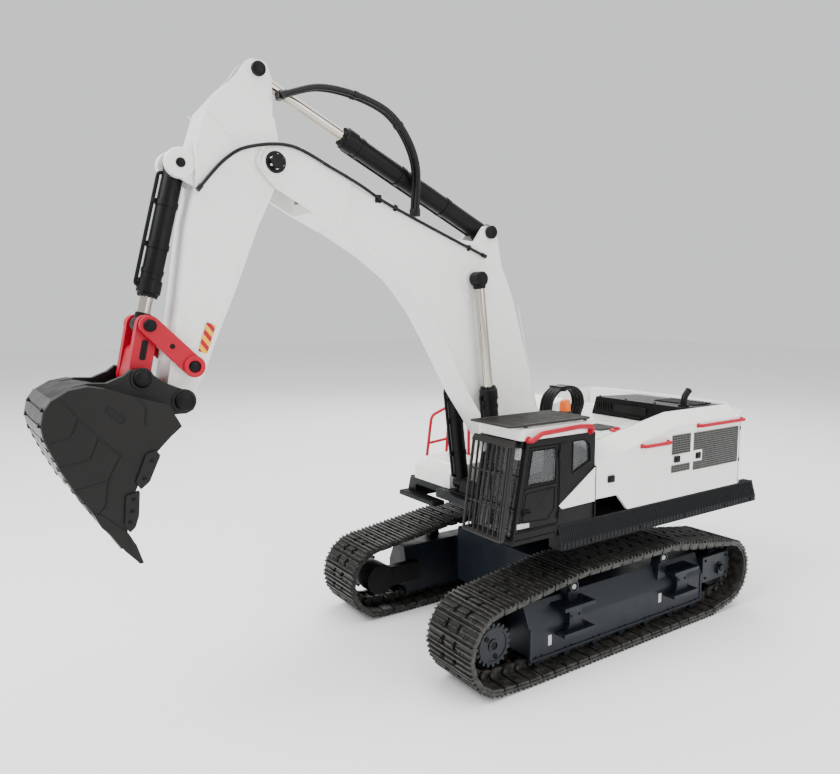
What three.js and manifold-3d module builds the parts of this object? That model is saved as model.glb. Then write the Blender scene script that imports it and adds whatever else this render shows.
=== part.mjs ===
// Radio-controlled crawler excavator, about 1:14, as an assembly of separate pieces.
// Millimetres, +Z up. The machine faces -Y and its cab is on the +X side.
// Pieces are drawn about the slew axis (x = 0, y = 0) with the ground at z = 0;
// the last lines move the whole machine so that the middle of its footprint is the origin.

import * as THREE from 'three';
import { mergeVertices } from 'three/addons/utils/BufferGeometryUtils.js';
import { ConvexGeometry } from 'three/addons/geometries/ConvexGeometry.js';
import Module from 'manifold-3d';

const wasm = await Module();
wasm.setup();

// ---------------------------------------------------------------- driving dimensions
const GAP = 0.3;                       // between pieces that touch

// tracks
const TRACK_OUTER_X = 149;             // half of the overall width
const SHOE_WIDTH = 71;
const SHOE_COUNT = 59;
const SHOE_THICKNESS = 8;
const GROUSER_HEIGHT = 2.5;
const CHAIN_DEPTH = 18;                // from grouser tip to the inside of the links
const LINK_X = [101, 129];             // the link rail runs in the middle of the shoes
const SHOE_GAP = 0.14;                 // open share of the pitch between two shoes
const SPROCKET = {
  y: -185, z: 47, loopR: 45, r: 22.7, teeth: 18, toothDepth: 3,
  discX: [124, 131.5], drumX: [106, 124.5], drumR: 18, boreR: 4.5,
};
const TRAVEL_MOTOR = { x: [82, 105.5], r: 19, armX: [84, 93.6], armHalf: 12, armEnd: -126 };
const IDLER = { y: 185, z: 49, loopR: 42, r: 23.2, x: [105, 125], hubX: [102, 128], hubR: 9, boreR: 5.3 };
const YOKE = {
  y: [151, 205], z: [38, 70], outerX: [129, 134.5], innerX: [95.5, 101], bridge: 7, axleR: 5, boltR: 7,
};
const LOOP_CIRCLES = [                 // [y, z, r] of the round stretches, counter-clockwise from below
  [-150, 25, 25], [150, 25, 25], [IDLER.y, IDLER.z, IDLER.loopR],
  [80, 82, 25], [-75, 82, 25], [SPROCKET.y, SPROCKET.z, SPROCKET.loopR],
];
const FRAME_X = [94, 134];             // side frame between the runs of the chain
const FRAME_Y = [-140, 150];
const FRAME_Z = [16, 75];
const CARRIER_Y = [-76, 74];           // posts of the top rollers
const CARRIER = { x: [121, 130], top: 87, half: 9 };
const STEP_Y = [-80, 101];             // middle of each climbing step
const STEP = { half: 23, plate: 4, z: [38, 70], webX: 141 };
const CAR_BODY = { x: 68, y: 78, z: [30, 100], legY: [-62, 22], legWidth: 40, legZ: [36, 78] };

// slew
const RING = { teeth: 36, module: 2.4, bore: 32, z: [100.3, 112] };
const PINION = { teeth: 9, z: [102, 110] };
const SLEW_CENTRES = RING.module * (RING.teeth + PINION.teeth) / 2;
const PINION_SHAFT_R = 5;
const SLEW_MOTOR = { r: 16, top: 214 };
const TURNTABLE_R = 38;

// house
const DECK_Z = [148, 156];
const SKIRT_Z = 131;
const DECK_Y = [-105, 247];
const SKIRT_X = 142;
const DECK_NOSE = { x: 60, y: -122 };
const STEP_PLATE = { x: [-142, -64], y: -120, z: [133, 138] };
const BODY_X = 137;
const BODY_INNER_X = 36;
const BODY_BACK = 214;
const LEFT_BODY = { front: -51.7, top: 232, underside: 176, valley: -25 };
const RIGHT_BODY = { front: -31.7, top: 236 };
const RISE_Y = 84;                     // the shell tops climb up to here, then run level
const SIDE_TOP = 243;                  // where the side turns into the chamfer
const CHAMFER_X = 119;
const CHAMFER_TOP = 257;
const VALLEY_Z = 234;                  // the lower deck between the chamfers
const SHELL = 4;                       // wall of the body shells
const COVER_X = 35.7;
const COUNTERWEIGHT = { x: 136, depth: 25, shoulder: 250 };
const HOOD = { x: [-31, 115.5], y: [125, 213], top: 258, wall: 5 };
const EXHAUST = { x: 104, y: 142, r: 4, flangeR: 6.5 };
const FRONT_BOX = { x: [-126, -50], y: [-104.7, -32.3], top: 186 };
const BATTERY = { x: [46, 112], y: [108, 204], top: 196 };

// cab
const CAB_X = [70, 136.7];
const CAB_REAR = -52.3;
const CAB_FLOOR = 146;
const CAB_TOP = 250;
const CAB_WALL = 4;
const CAB_FRONT = [-168, -150];        // y of the front at the floor and at the top
const DOOR_Y = -106;
const DOOR_Z = [160, 243];
const DOOR_THICKNESS = 3.2;
const DOOR_WINDOW_Z = [204, 239.5];
const WINDSHIELD_Z = [154, 243];
const REAR_QUARTER = [[-86, 209], [-59.5, 219.5], [-60, 236, 4], [-68, 243, 4], [-86, 243]];
const RIGHT_WINDOW = { y: [-140, -64], z: [196, 240] };
const REAR_WINDOW_Z = [206, 242];
const CAB_ROOF = { x: [68, 137], y: [-158, -56], top: 262 };
const ROOF_GUARD = { x: [75, 136.5], y: [-173, -59], z: [264, 266.4], slots: 12, bar: 2.6 };
const FRONT_GUARD = { x: [68, 132], y: [-177, -174], z: [149, 248], lean: 14, bar: 2.4 };
const SEAT = { x: [90, 117], y: [-122, -84], z: [178, 188], backTop: 222, headTop: 234 };

// rails and fittings
const RAIL_R = 1.9;
const RAIL_OUT = 5.5;                  // how far the side rails stand off the shell
const LADDER_X = -133;
const BEACON = { x: 73, y: -33, z: [236.3, 262.5, 277], r: 6.5 };
const HOSE_ARCH = { r: 2.7, x: [-7.8, -2.6, 2.6, 7.8] };

// front attachment, pivots as [y, z]
const BOOM_HALF = 22.5;
const NOSE_HALF = 25.5;
const ARM_HALF = 20.5;
const PLATE = 2.5;                     // wall of the boom and the arm
const BUCKET_HALF = 49;
const BOOM_FOOT = [-38, 180];
const ARM_PIVOT = [-361, 511];
const ARM_TOP = [-371, 593];
const ARM_CYL_BASE = [-98, 464];
const BOOM_CYL_TOP = [-129, 411];
const BOOM_CYL_BASE = [-99, 168];
const BOOM_CYL_X = 33.5;
const BUCKET_PIVOT = [-452, 301];
const LINK_PIN = [-486, 322];
const LEVER_PIVOT = [-441, 330];
const LEVER_TOP = [-477, 366];
const BUCKET_CYL_BASE = [-443, 504];
const CHEEK_X = [ARM_HALF + 0.8, NOSE_HALF];
const PIN_BORE = { foot: 6.4, arm: 6.4, bucket: 5.4, lever: 4.4 };
const BUCKET_WALL = 3.5;
const BUCKET_EAR_X = [25.5, 32];
const TEETH = { count: 5, width: 10 };
const LEVER_X = [24, 28.5];
const LINK_SIDE_X = [13, 22];
const ARM_HOSE = { r: 3, x: [15, 22] };
const BUCKET_HOSE_R = 1.6;

// ---------------------------------------------------------------- materials
function finish(color, roughness, metalness) {
  return new THREE.MeshStandardMaterial({ color, roughness, metalness });
}

const PAINT = {
  white: finish(0xf0f0e8, 0.35, 0.1),
  red: finish(0xc81e2d, 0.35, 0.1),
  black: finish(0x17181a, 0.5, 0.2),
  frameGrey: finish(0x4b5055, 0.5, 0.4),
  shoe: finish(0x4a4a42, 0.6, 0.5),
  bucketGrey: finish(0x2a2622, 0.55, 0.3),
  chrome: finish(0xd8d4c8, 0.12, 1),
  rubber: finish(0x0e0e0f, 0.7, 0),
  glass: finish(0x30363a, 0.1, 0),
  amber: finish(0xf08a1c, 0.3, 0),
  board: finish(0x1c5a34, 0.6, 0),
  battery: finish(0x22305a, 0.5, 0),
};

// ---------------------------------------------------------------- solids
const WELD = 0.002;                    // corners closer than this become one

function toSolid(geometry) {
  const bare = geometry.clone();
  bare.deleteAttribute('normal');
  bare.deleteAttribute('uv');
  const merged = mergeVertices(bare, 1e-4);
  return new wasm.Manifold(new wasm.Mesh({
    numProp: 3,
    vertProperties: new Float32Array(merged.attributes.position.array),
    triVerts: new Uint32Array(merged.index.array),
  }));
}

function toGeometry(solid) {
  const mesh = solid.asOriginal().simplify(WELD).getMesh();
  const geometry = new THREE.BufferGeometry();
  geometry.setAttribute('position', new THREE.BufferAttribute(mesh.vertProperties, 3));
  geometry.setIndex(new THREE.BufferAttribute(mesh.triVerts, 1));
  return geometry;
}

function fuse(...geometries) {
  return toGeometry(geometries.map(toSolid).reduce((sum, next) => sum.add(next)));
}

function cut(geometry, ...tools) {
  return toGeometry(tools.map(toSolid).reduce((rest, tool) => rest.subtract(tool), toSolid(geometry)));
}

function mirrorX(geometry) {
  const mirrored = toGeometry(toSolid(geometry)).applyMatrix4(new THREE.Matrix4().makeScale(-1, 1, 1));
  const index = mirrored.index.array;
  for (let i = 0; i < index.length; i += 3) [index[i], index[i + 1]] = [index[i + 1], index[i]];
  return mirrored;
}

// An outline is a list of [a, b] or [a, b, radius] corners.
function outline(corners, holes = []) {
  const shape = new THREE.Shape();
  corners.forEach(([a, b, radius = 0], i) => {
    const here = new THREE.Vector2(a, b);
    if (radius === 0) {
      if (i === 0) shape.moveTo(a, b);
      else shape.lineTo(a, b);
      return;
    }
    const before = new THREE.Vector2(...corners.at(i - 1)).sub(here).setLength(radius).add(here);
    const after = new THREE.Vector2(...corners[(i + 1) % corners.length]).sub(here);
    after.setLength(radius).add(here);
    if (i === 0) shape.moveTo(before.x, before.y);
    else shape.lineTo(before.x, before.y);
    shape.quadraticCurveTo(a, b, after.x, after.y);
  });
  shape.holes = holes.map((hole) => outline(hole));
  return shape;
}

function slab(shape, depth, curveSegments = 4) {
  return new THREE.ExtrudeGeometry(shape, { depth, bevelEnabled: false, curveSegments });
}

// extrudes a [y, z] outline along X, an [x, z] outline along Y, an [x, y] outline along Z
function alongX(corners, [x0, x1], holes = []) {
  const turn = new THREE.Matrix4().makeBasis(
    new THREE.Vector3(0, 1, 0), new THREE.Vector3(0, 0, 1), new THREE.Vector3(1, 0, 0));
  return slab(outline(corners, holes), x1 - x0).applyMatrix4(turn).translate(x0, 0, 0);
}

function alongY(corners, [y0, y1], holes = []) {
  const turn = new THREE.Matrix4().makeBasis(
    new THREE.Vector3(1, 0, 0), new THREE.Vector3(0, 0, 1), new THREE.Vector3(0, -1, 0));
  return slab(outline(corners, holes), y1 - y0).applyMatrix4(turn).translate(0, y1, 0);
}

function alongZ(corners, [z0, z1], holes = []) {
  return slab(outline(corners, holes), z1 - z0).translate(0, 0, z0);
}

function box([x0, x1], [y0, y1], [z0, z1]) {
  return new THREE.BoxGeometry(x1 - x0, y1 - y0, z1 - z0)
    .translate((x0 + x1) / 2, (y0 + y1) / 2, (z0 + z1) / 2);
}

function roundX([x0, x1], [y, z], r, sides = 16) {
  return new THREE.CylinderGeometry(r, r, x1 - x0, sides).rotateZ(Math.PI / 2)
    .translate((x0 + x1) / 2, y, z);
}

function roundZ([z0, z1], [x, y], r, sides = 24) {
  return new THREE.CylinderGeometry(r, r, z1 - z0, sides).rotateX(Math.PI / 2)
    .translate(x, y, (z0 + z1) / 2);
}

function hull(...points) {
  return new ConvexGeometry(points.map((p) => new THREE.Vector3(...p)));
}

function tube(points, r, { sides = 8, steps = 20 } = {}) {
  const path = new THREE.CatmullRomCurve3(points.map((p) => new THREE.Vector3(...p)), false, 'centripetal');
  const ring = [];
  for (let i = 0; i < sides; i++) {
    const angle = 2 * Math.PI * i / sides;
    ring.push(new THREE.Vector2(r * Math.cos(angle), r * Math.sin(angle)));
  }
  return new THREE.ExtrudeGeometry(new THREE.Shape(ring), { steps, bevelEnabled: false, extrudePath: path });
}

// a bent bar: straight stretches with round corners
function bar(points, r, bend = 6) {
  const path = [points[0]];
  for (let i = 1; i < points.length - 1; i++) {
    const corner = new THREE.Vector3(...points[i]);
    for (const end of [points[i - 1], points[i + 1]]) {
      path.push(new THREE.Vector3(...end).sub(corner).setLength(bend).add(corner).toArray());
    }
  }
  path.push(points.at(-1));
  return tube(path, r, { sides: 6, steps: path.length * 3 });
}

// a round plate-like strap that covers two pins in the YZ plane
function strap([x0, x1], a, ra, b, rb) {
  const web = [];
  const direction = Math.atan2(b[1] - a[1], b[0] - a[0]);
  for (const [pin, r, side] of [[a, ra, 1], [a, ra, -1], [b, rb, -1], [b, rb, 1]]) {
    const angle = direction + side * Math.PI / 2;
    web.push([pin[0] + r * Math.cos(angle), pin[1] + r * Math.sin(angle)]);
  }
  return fuse(alongX(web, [x0, x1]), roundX([x0, x1], a, ra), roundX([x0, x1], b, rb));
}

// ---------------------------------------------------------------- scene graph
const excavator = new THREE.Group();
const machine = new THREE.Group();
excavator.add(machine);

function section() {
  const group = new THREE.Group();
  machine.add(group);
  return group;
}

const undercarriage = section();
const house = section();
const cab = section();
const front = section();

function add(group, name, geometry, material) {
  const mesh = new THREE.Mesh(toGeometry(toSolid(geometry)), material);
  mesh.name = name;
  group.add(mesh);
}

function addPair(group, name, geometry, material) {
  add(group, `left_${name}`, geometry, material);
  add(group, `right_${name}`, mirrorX(geometry), material);
}

// ---------------------------------------------------------------- track chain
// The loop is the tight belt round LOOP_CIRCLES, given as points with outward normals.
function beltPath(arcStep) {
  const count = LOOP_CIRCLES.length;
  const normalTo = ([ay, az, ar], [by, bz, br]) => {
    const distance = Math.hypot(by - ay, bz - az);
    return Math.atan2(bz - az, by - ay) - Math.acos((ar - br) / distance);
  };
  const path = [];
  let start = normalTo(LOOP_CIRCLES.at(-1), LOOP_CIRCLES[0]);
  LOOP_CIRCLES.forEach((circle, i) => {
    let end = normalTo(circle, LOOP_CIRCLES[(i + 1) % count]);
    while (end < start) end += 2 * Math.PI;
    const steps = Math.max(1, Math.ceil((end - start) / arcStep));
    for (let k = 0; k <= steps; k++) {
      const angle = start + (end - start) * k / steps;
      path.push({
        y: circle[0] + circle[2] * Math.cos(angle),
        z: circle[1] + circle[2] * Math.sin(angle),
        angle,
      });
    }
    start = end;
  });
  return path;
}

function inset({ y, z, angle }, depth) {
  return [y - depth * Math.cos(angle), z - depth * Math.sin(angle)];
}

// points at equal distances along the loop
function walkBelt(distances) {
  const path = beltPath(Math.PI / 60);
  path.push({ ...path[0], angle: path[0].angle + 2 * Math.PI });
  const lengths = [0];
  for (let i = 1; i < path.length; i++) {
    lengths.push(lengths[i - 1] + Math.hypot(path[i].y - path[i - 1].y, path[i].z - path[i - 1].z));
  }
  const total = lengths.at(-1);
  return distances.map((share) => {
    const target = share * total;
    let i = 1;
    while (i < lengths.length - 1 && lengths[i] < target) i++;
    const t = (target - lengths[i - 1]) / (lengths[i] - lengths[i - 1]);
    const mix = (key) => path[i - 1][key] + t * (path[i][key] - path[i - 1][key]);
    return { y: mix('y'), z: mix('z'), angle: mix('angle') };
  });
}

function trackChain() {
  const shares = [];
  for (let i = 0; i < SHOE_COUNT; i++) {
    shares.push((i + SHOE_GAP / 2) / SHOE_COUNT, (i + 1 - SHOE_GAP / 2) / SHOE_COUNT);
  }
  const outer = [];
  walkBelt(shares).forEach((point, i) => {
    const tip = inset(point, 0);
    const foot = inset(point, GROUSER_HEIGHT);
    outer.push(...(i % 2 === 0 ? [foot, tip] : [tip, foot]));
  });
  const coarse = beltPath(Math.PI / 10);
  const ring = (depth) => coarse.map((point) => inset(point, depth));
  const shoes = alongX(outer, [TRACK_OUTER_X - SHOE_WIDTH, TRACK_OUTER_X], [ring(SHOE_THICKNESS)]);
  const links = alongX(ring(SHOE_THICKNESS - 1), LINK_X, [ring(CHAIN_DEPTH)]);
  return fuse(shoes, links);
}

// ---------------------------------------------------------------- gears
function gearOutline(teeth, rootR, tipR, rootShare, tipShare, turn = 0) {
  const points = [];
  for (let i = 0; i < teeth; i++) {
    for (const [r, share] of [[rootR, -rootShare], [tipR, -tipShare], [tipR, tipShare], [rootR, rootShare]]) {
      const angle = 2 * Math.PI * (i + share / 2) / teeth + turn;
      points.push([r * Math.cos(angle), r * Math.sin(angle)]);
    }
  }
  return points;
}

function spurGear(teeth, [z0, z1], turn) {
  const pitchR = RING.module * teeth / 2;
  return alongZ(gearOutline(teeth, pitchR - RING.module * 1.1, pitchR + RING.module * 0.75, 0.52, 0.22, turn),
    [z0, z1]);
}

// ---------------------------------------------------------------- undercarriage
function sprocket() {
  const { y, z, r, teeth, toothDepth, discX, drumX, drumR, boreR } = SPROCKET;
  const toothed = gearOutline(teeth, r - toothDepth, r, 0.7, 0.42).map(([a, b]) => [y + a, z + b]);
  const disc = alongX(toothed, discX);
  const drum = roundX(drumX, [y, z], drumR, 28);
  return cut(fuse(disc, drum), roundX([discX[0] - 4, discX[1] + 4], [y, z], boreR, 12));
}

function travelMotor() {
  const { y, z } = SPROCKET;
  const { x, r, armX, armHalf, armEnd } = TRAVEL_MOTOR;
  return fuse(roundX(x, [y, z], r, 24), box(armX, [y, armEnd], [z - armHalf, z + armHalf]));
}

function idler() {
  const { y, z, r, x, hubX, hubR, boreR } = IDLER;
  const rim = fuse(roundX(x, [y, z], r, 32), roundX(hubX, [y, z], hubR, 20));
  return cut(rim, roundX([hubX[0] - 2, hubX[1] + 2], [y, z], boreR, 16));
}

function idlerYoke() {
  const { y, z } = IDLER;
  const [y0, y1] = YOKE.y;
  const [z0, z1] = YOKE.z;
  const plate = [[y0, z0], [y1, z0, 3], [y1, z1, 3], [y0, z1]];
  return fuse(
    alongX(plate, YOKE.outerX),
    alongX(plate, YOKE.innerX),
    box([YOKE.innerX[1] - 3, YOKE.outerX[0] + 3], [y0, y0 + YOKE.bridge], [z0 + 4, z1 - 4]),
    roundX([YOKE.innerX[1] - 3, YOKE.outerX[1] + 2.5], [y, z], YOKE.axleR, 16),
    roundX([YOKE.outerX[1] - 0.5, YOKE.outerX[1] + 3.5], [y, z], YOKE.boltR, 6),
  );
}

function step(y) {
  const { half, plate, z: [bottom, top], webX } = STEP;
  const [web, waist, mid] = [14, 9, (bottom + top) / 2];
  const profile = [
    [web, bottom + 2], [waist, mid - 6], [waist, mid + 6], [web, top - 2],
    [-web, top - 2], [-waist, mid + 6], [-waist, mid - 6], [-web, bottom + 2],
  ];
  const inner = FRAME_X[1] - 9;
  const reach = [inner, TRACK_OUTER_X - 1];
  const across = [y - half, y + half];
  return [
    box(reach, across, [top - plate, top]),
    box(reach, across, [bottom, bottom + plate]),
    alongX(profile.map(([a, b]) => [y + a, b]), [inner, webX]),
  ];
}

function trackFrame() {
  const [x0, x1] = FRAME_X;
  const [z0, z1] = FRAME_Z;
  const shoulder = z0 + 35;
  const channel = z0 + 6;
  const profile = [
    [x1, z0], [x1, shoulder], [x1 - 11, z1], [x0 + 6, z1], [x0, shoulder], [x0, z0],
    [x0 + 5.5, z0], [x0 + 5.5, channel], [x1 - 3.5, channel], [x1 - 3.5, z0],
  ];
  const { x, top, half } = CARRIER;
  const posts = CARRIER_Y.map((y) => alongX(
    [[y - half, z1 - 15], [y + half, z1 - 15], [y + half - 3, top, 5], [y - half + 3, top, 5]], x));
  return fuse(alongY(profile, FRAME_Y), ...posts, ...STEP_Y.flatMap(step));
}

function carBody() {
  const { x, y, z, legY, legWidth, legZ } = CAR_BODY;
  const centre = box([-x, x], [-y, y], z);
  const legs = legY.map((start) => box([x - 8, FRAME_X[0] - GAP], [start, start + legWidth], legZ));
  return fuse(centre, ...legs, ...legs.map(mirrorX));
}

addPair(undercarriage, 'track_chain', trackChain(), PAINT.shoe);
addPair(undercarriage, 'sprocket', sprocket(), PAINT.frameGrey);
addPair(undercarriage, 'travel_motor', travelMotor(), PAINT.black);
addPair(undercarriage, 'idler', idler(), PAINT.frameGrey);
addPair(undercarriage, 'idler_yoke', idlerYoke(), PAINT.frameGrey);
addPair(undercarriage, 'track_frame', trackFrame(), PAINT.frameGrey);
add(undercarriage, 'car_body', carBody(), PAINT.frameGrey);
const ringBore = roundZ([RING.z[0] - 5, RING.z[1] + 5], [0, 0], RING.bore);
add(undercarriage, 'slew_ring', cut(spurGear(RING.teeth, RING.z, 0), ringBore), PAINT.frameGrey);

// ---------------------------------------------------------------- house
function deck() {
  const [y0, y1] = DECK_Y;
  const inner = SKIRT_X - 18;
  const plate = box([-inner - 4, inner + 4], [y0, y1 - 12], DECK_Z);
  const { x: nx, y: ny } = DECK_NOSE;
  const nose = alongZ([[-nx, y0 + 5], [-nx, ny, 8], [nx, ny, 8], [nx, y0 + 5]], DECK_Z);
  const skirt = [
    [inner, SKIRT_Z], [SKIRT_X, SKIRT_Z], [SKIRT_X, SKIRT_Z + 7], [BODY_X - 0.5, DECK_Z[1]], [inner, DECK_Z[1]],
  ];
  const walkway = alongY(skirt, [y0, y1]);
  const turntable = roundZ([RING.z[1] + 1, DECK_Z[0] + 2], [0, 0], TURNTABLE_R);
  const [sx0, sx1] = STEP_PLATE.x;
  const stepPlate = alongZ(
    [[sx0, STEP_PLATE.y, 3], [sx1, STEP_PLATE.y, 3], [sx1, y0 + 3], [sx0, y0 + 3]], STEP_PLATE.z);
  const shaftHole = roundZ([RING.z[0], DECK_Z[1] + 14], [0, SLEW_CENTRES], PINION_SHAFT_R + 2, 16);
  return cut(fuse(plate, nose, walkway, mirrorX(walkway), turntable, stepPlate), shaftHole);
}

function boomBracket() {
  const [fy, fz] = BOOM_FOOT;
  const [cy, cz] = BOOM_CYL_BASE;
  const floor = DECK_Z[1] + GAP;
  const ear = [[fy - 26, floor], [fy + 26, floor], [fy + 14, fz + 8, 9], [fy - 14, fz + 8, 9]];
  const block = [[cy - 12, floor], [cy + 14, floor], [cy + 8, cz + 8, 5], [cy - 8, cz + 8, 5]];
  return fuse(
    box([-34, 34], [cy - 16, fy + 28], [floor, floor + 3]),
    alongX(ear, [BOOM_HALF + 1.5, BOOM_HALF + 8.5]),
    alongX(ear, [-BOOM_HALF - 8.5, -BOOM_HALF - 1.5]),
    roundX([-BOOM_HALF - 11, BOOM_HALF + 11], BOOM_FOOT, 6, 20),
    alongX(block, [-24, 24]),
    roundX([-42, 42], BOOM_CYL_BASE, 4, 16),
  );
}

function slewMotor() {
  return roundZ([DECK_Z[1] + GAP, SLEW_MOTOR.top], [0, SLEW_CENTRES], SLEW_MOTOR.r, 28);
}

function slewPinion() {
  const inMesh = Math.PI / PINION.teeth - Math.PI / 2;
  const gear = spurGear(PINION.teeth, PINION.z, inMesh).translate(0, SLEW_CENTRES, 0);
  return fuse(gear, roundZ([PINION.z[1] - 1, DECK_Z[1] - 0.5], [0, SLEW_CENTRES], PINION_SHAFT_R, 16));
}

// Half of the machine's body: a hollow shell with a chamfered top edge, open below and inwards.
function bodyShell(frontY, frontTop, bottom, valleyY) {
  const top = [[BODY_BACK, CHAMFER_TOP], [RISE_Y, CHAMFER_TOP], [frontY, frontTop]];
  const block = alongX([...bottom, ...top], [BODY_INNER_X, BODY_X]);
  const outside = BODY_X + 13;
  const past = 20;
  const above = CHAMFER_TOP + 63;
  const chamfer = (yA, zA, yB, zB) => hull(
    [CHAMFER_X, yA, zA[0]], [outside, yA, zA[1]], [CHAMFER_X, yB, zB[0]], [outside, yB, zB[1]],
    [CHAMFER_X, yA, above], [outside, yA, above], [CHAMFER_X, yB, above], [outside, yB, above]);
  const run = (outside - CHAMFER_X) / (BODY_X - CHAMFER_X);
  const low = (z, drop) => [z, z - drop * run];
  const drop = CHAMFER_TOP - SIDE_TOP;
  const slope = (CHAMFER_TOP - frontTop) / (RISE_Y - frontY);
  const level = low(CHAMFER_TOP, drop);
  const frontCut = chamfer(frontY - past, low(frontTop - past * slope, drop + 3), RISE_Y, level);
  const backCut = chamfer(RISE_Y, level, BODY_BACK + past, level);
  const valley = box([BODY_INNER_X - 6, CHAMFER_X - 2], [valleyY, BODY_BACK + past], [VALLEY_Z, above]);
  const ceiling = VALLEY_Z - SHELL;
  const hollow = alongX([
    [frontY + SHELL, DECK_Z[0]], [BODY_BACK - SHELL, DECK_Z[0]], [BODY_BACK - SHELL, ceiling],
    [RISE_Y - 24, ceiling], [frontY + SHELL, frontTop - 26],
  ], [BODY_INNER_X - 6, BODY_X - SHELL]);
  return cut(block, frontCut, backCut, valley, hollow);
}

function leftBody() {
  const floor = DECK_Z[1] + GAP;
  const { front: y, top, underside } = LEFT_BODY;
  return bodyShell(y, top, [[y, underside], [-15, underside], [3, floor], [BODY_BACK, floor]], LEFT_BODY.valley);
}

function rightBody() {
  const floor = DECK_Z[1] + GAP;
  const { front: y, top } = RIGHT_BODY;
  return mirrorX(bodyShell(y, top, [[y, floor], [BODY_BACK, floor]], RISE_Y));
}

function centreCover() {
  const floor = DECK_Z[1] + GAP;
  const profile = [[0, floor], [BODY_BACK, floor], [BODY_BACK, VALLEY_Z], [40, VALLEY_Z], [0, 205, 8]];
  const inside = [
    [SHELL, DECK_Z[0]], [BODY_BACK - SHELL, DECK_Z[0]], [BODY_BACK - SHELL, VALLEY_Z - SHELL],
    [44, VALLEY_Z - SHELL], [SHELL, 202],
  ];
  return cut(alongX(profile, [-COVER_X, COVER_X]), alongX(inside, [SHELL - COVER_X, COVER_X - SHELL]));
}

function counterweight() {
  const y = BODY_BACK + GAP;
  const { x, depth, shoulder } = COUNTERWEIGHT;
  const plan = [
    [-x, y], [x, y], [x - 4, y + 12, 8], [x - 66, y + depth, 20], [66 - x, y + depth, 20], [4 - x, y + 12, 8],
  ];
  const cap = x - 18;
  const capPlan = [
    [-cap, y], [cap, y], [cap - 6, y + 11],
    [cap - 58, y + depth - 5], [58 - cap, y + depth - 5], [6 - cap, y + 11],
  ];
  return fuse(alongZ(plan, [DECK_Z[1] + GAP, shoulder]), alongZ(capPlan, [shoulder, CHAMFER_TOP]));
}

function engineHood() {
  const [x0, x1] = HOOD.x;
  const [y0, y1] = HOOD.y;
  const { top, wall } = HOOD;
  const base = VALLEY_Z + GAP;
  const shell = hull(
    [x0, y0, base], [x1, y0, base], [x0, y1, base], [x1, y1, base],
    [x0 + 3, y0 + 5, top], [x1 - 1, y0 + 5, top], [x0 + 3, y1, top - 3], [x1 - 1, y1, top - 3]);
  return cut(shell, box([x0 + wall, x1 - wall - 1], [y0 + wall + 1, y1 - wall], [base - 5, top - wall - 2]));
}

function exhaust() {
  const { x, y, r, flangeR } = EXHAUST;
  const z = HOOD.top - 0.1;
  const path = [[x, y, z], [x, y, z + 8], [x, y + 3, z + 15], [x, y + 9, z + 18]];
  return fuse(roundZ([z, z + 2.5], [x, y], flangeR, 16), tube(path, r, { sides: 12, steps: 12 }));
}

function rightFrontBox() {
  const floor = DECK_Z[1] + GAP;
  const { x: [x0, x1], y: [y0, y1], top } = FRONT_BOX;
  const profile = [[y0, floor], [y0, top - 12, 4], [y0 + 12.7, top - 3, 6], [y1, top], [y1, floor]];
  const inside = [
    [y0 + SHELL, DECK_Z[0]], [y0 + SHELL, top - 13], [y0 + 13.7, top - 7], [y1 - SHELL, top - SHELL],
    [y1 - SHELL, DECK_Z[0]],
  ];
  return cut(alongX(profile, [x0, x1]), alongX(inside, [x0 + SHELL, x1 - SHELL]));
}

function batteryPack() {
  return box(BATTERY.x, BATTERY.y, [DECK_Z[1] + GAP, BATTERY.top]);
}

// a receiver box on its board, which stands on a foot
function controlBoard() {
  return fuse(
    box([-116, -46], [60, 150], [162, 165]),
    box([-104, -60], [72, 138], [164.5, 180]),
    box([-110, -104], [66, 144], [DECK_Z[1] + GAP, 164]),
  );
}

add(house, 'deck', deck(), PAINT.black);
add(house, 'boom_bracket', boomBracket(), PAINT.black);
add(house, 'slew_motor', slewMotor(), PAINT.frameGrey);
add(house, 'slew_pinion', slewPinion(), PAINT.frameGrey);
add(house, 'battery_pack', batteryPack(), PAINT.battery);
add(house, 'control_board', controlBoard(), PAINT.board);
add(house, 'left_body_shell', leftBody(), PAINT.white);
add(house, 'right_body_shell', rightBody(), PAINT.white);
add(house, 'centre_cover', centreCover(), PAINT.black);
add(house, 'counterweight', counterweight(), PAINT.white);
add(house, 'engine_hood', engineHood(), PAINT.black);
add(house, 'exhaust_pipe', exhaust(), PAINT.black);
add(house, 'right_front_box', rightFrontBox(), PAINT.white);

// ---------------------------------------------------------------- cab
// y of the leaning cab front at a height, and a depth behind it
function cabFront(z, depth = 0) {
  const [low, high] = CAB_FRONT;
  return low + depth + (high - low) * (z - CAB_FLOOR) / (CAB_TOP - CAB_FLOOR);
}

function doorOutline(margin) {
  const [low, high] = [DOOR_Z[0] + margin, DOOR_Z[1] - margin];
  const [front, back] = [5 + margin, DOOR_Y - margin];
  return [[cabFront(low, front), low], [back, low], [back, high], [cabFront(high, front), high]];
}

function windowOutline(margin) {
  const [low, high] = [DOOR_WINDOW_Z[0] + margin, DOOR_WINDOW_Z[1] - margin];
  const [front, back] = [8.5 + margin, DOOR_Y - 4 - margin];
  return [[cabFront(low, front), low, 2], [back, low, 2], [back, high, 2], [cabFront(high, front), high, 2]];
}

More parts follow.
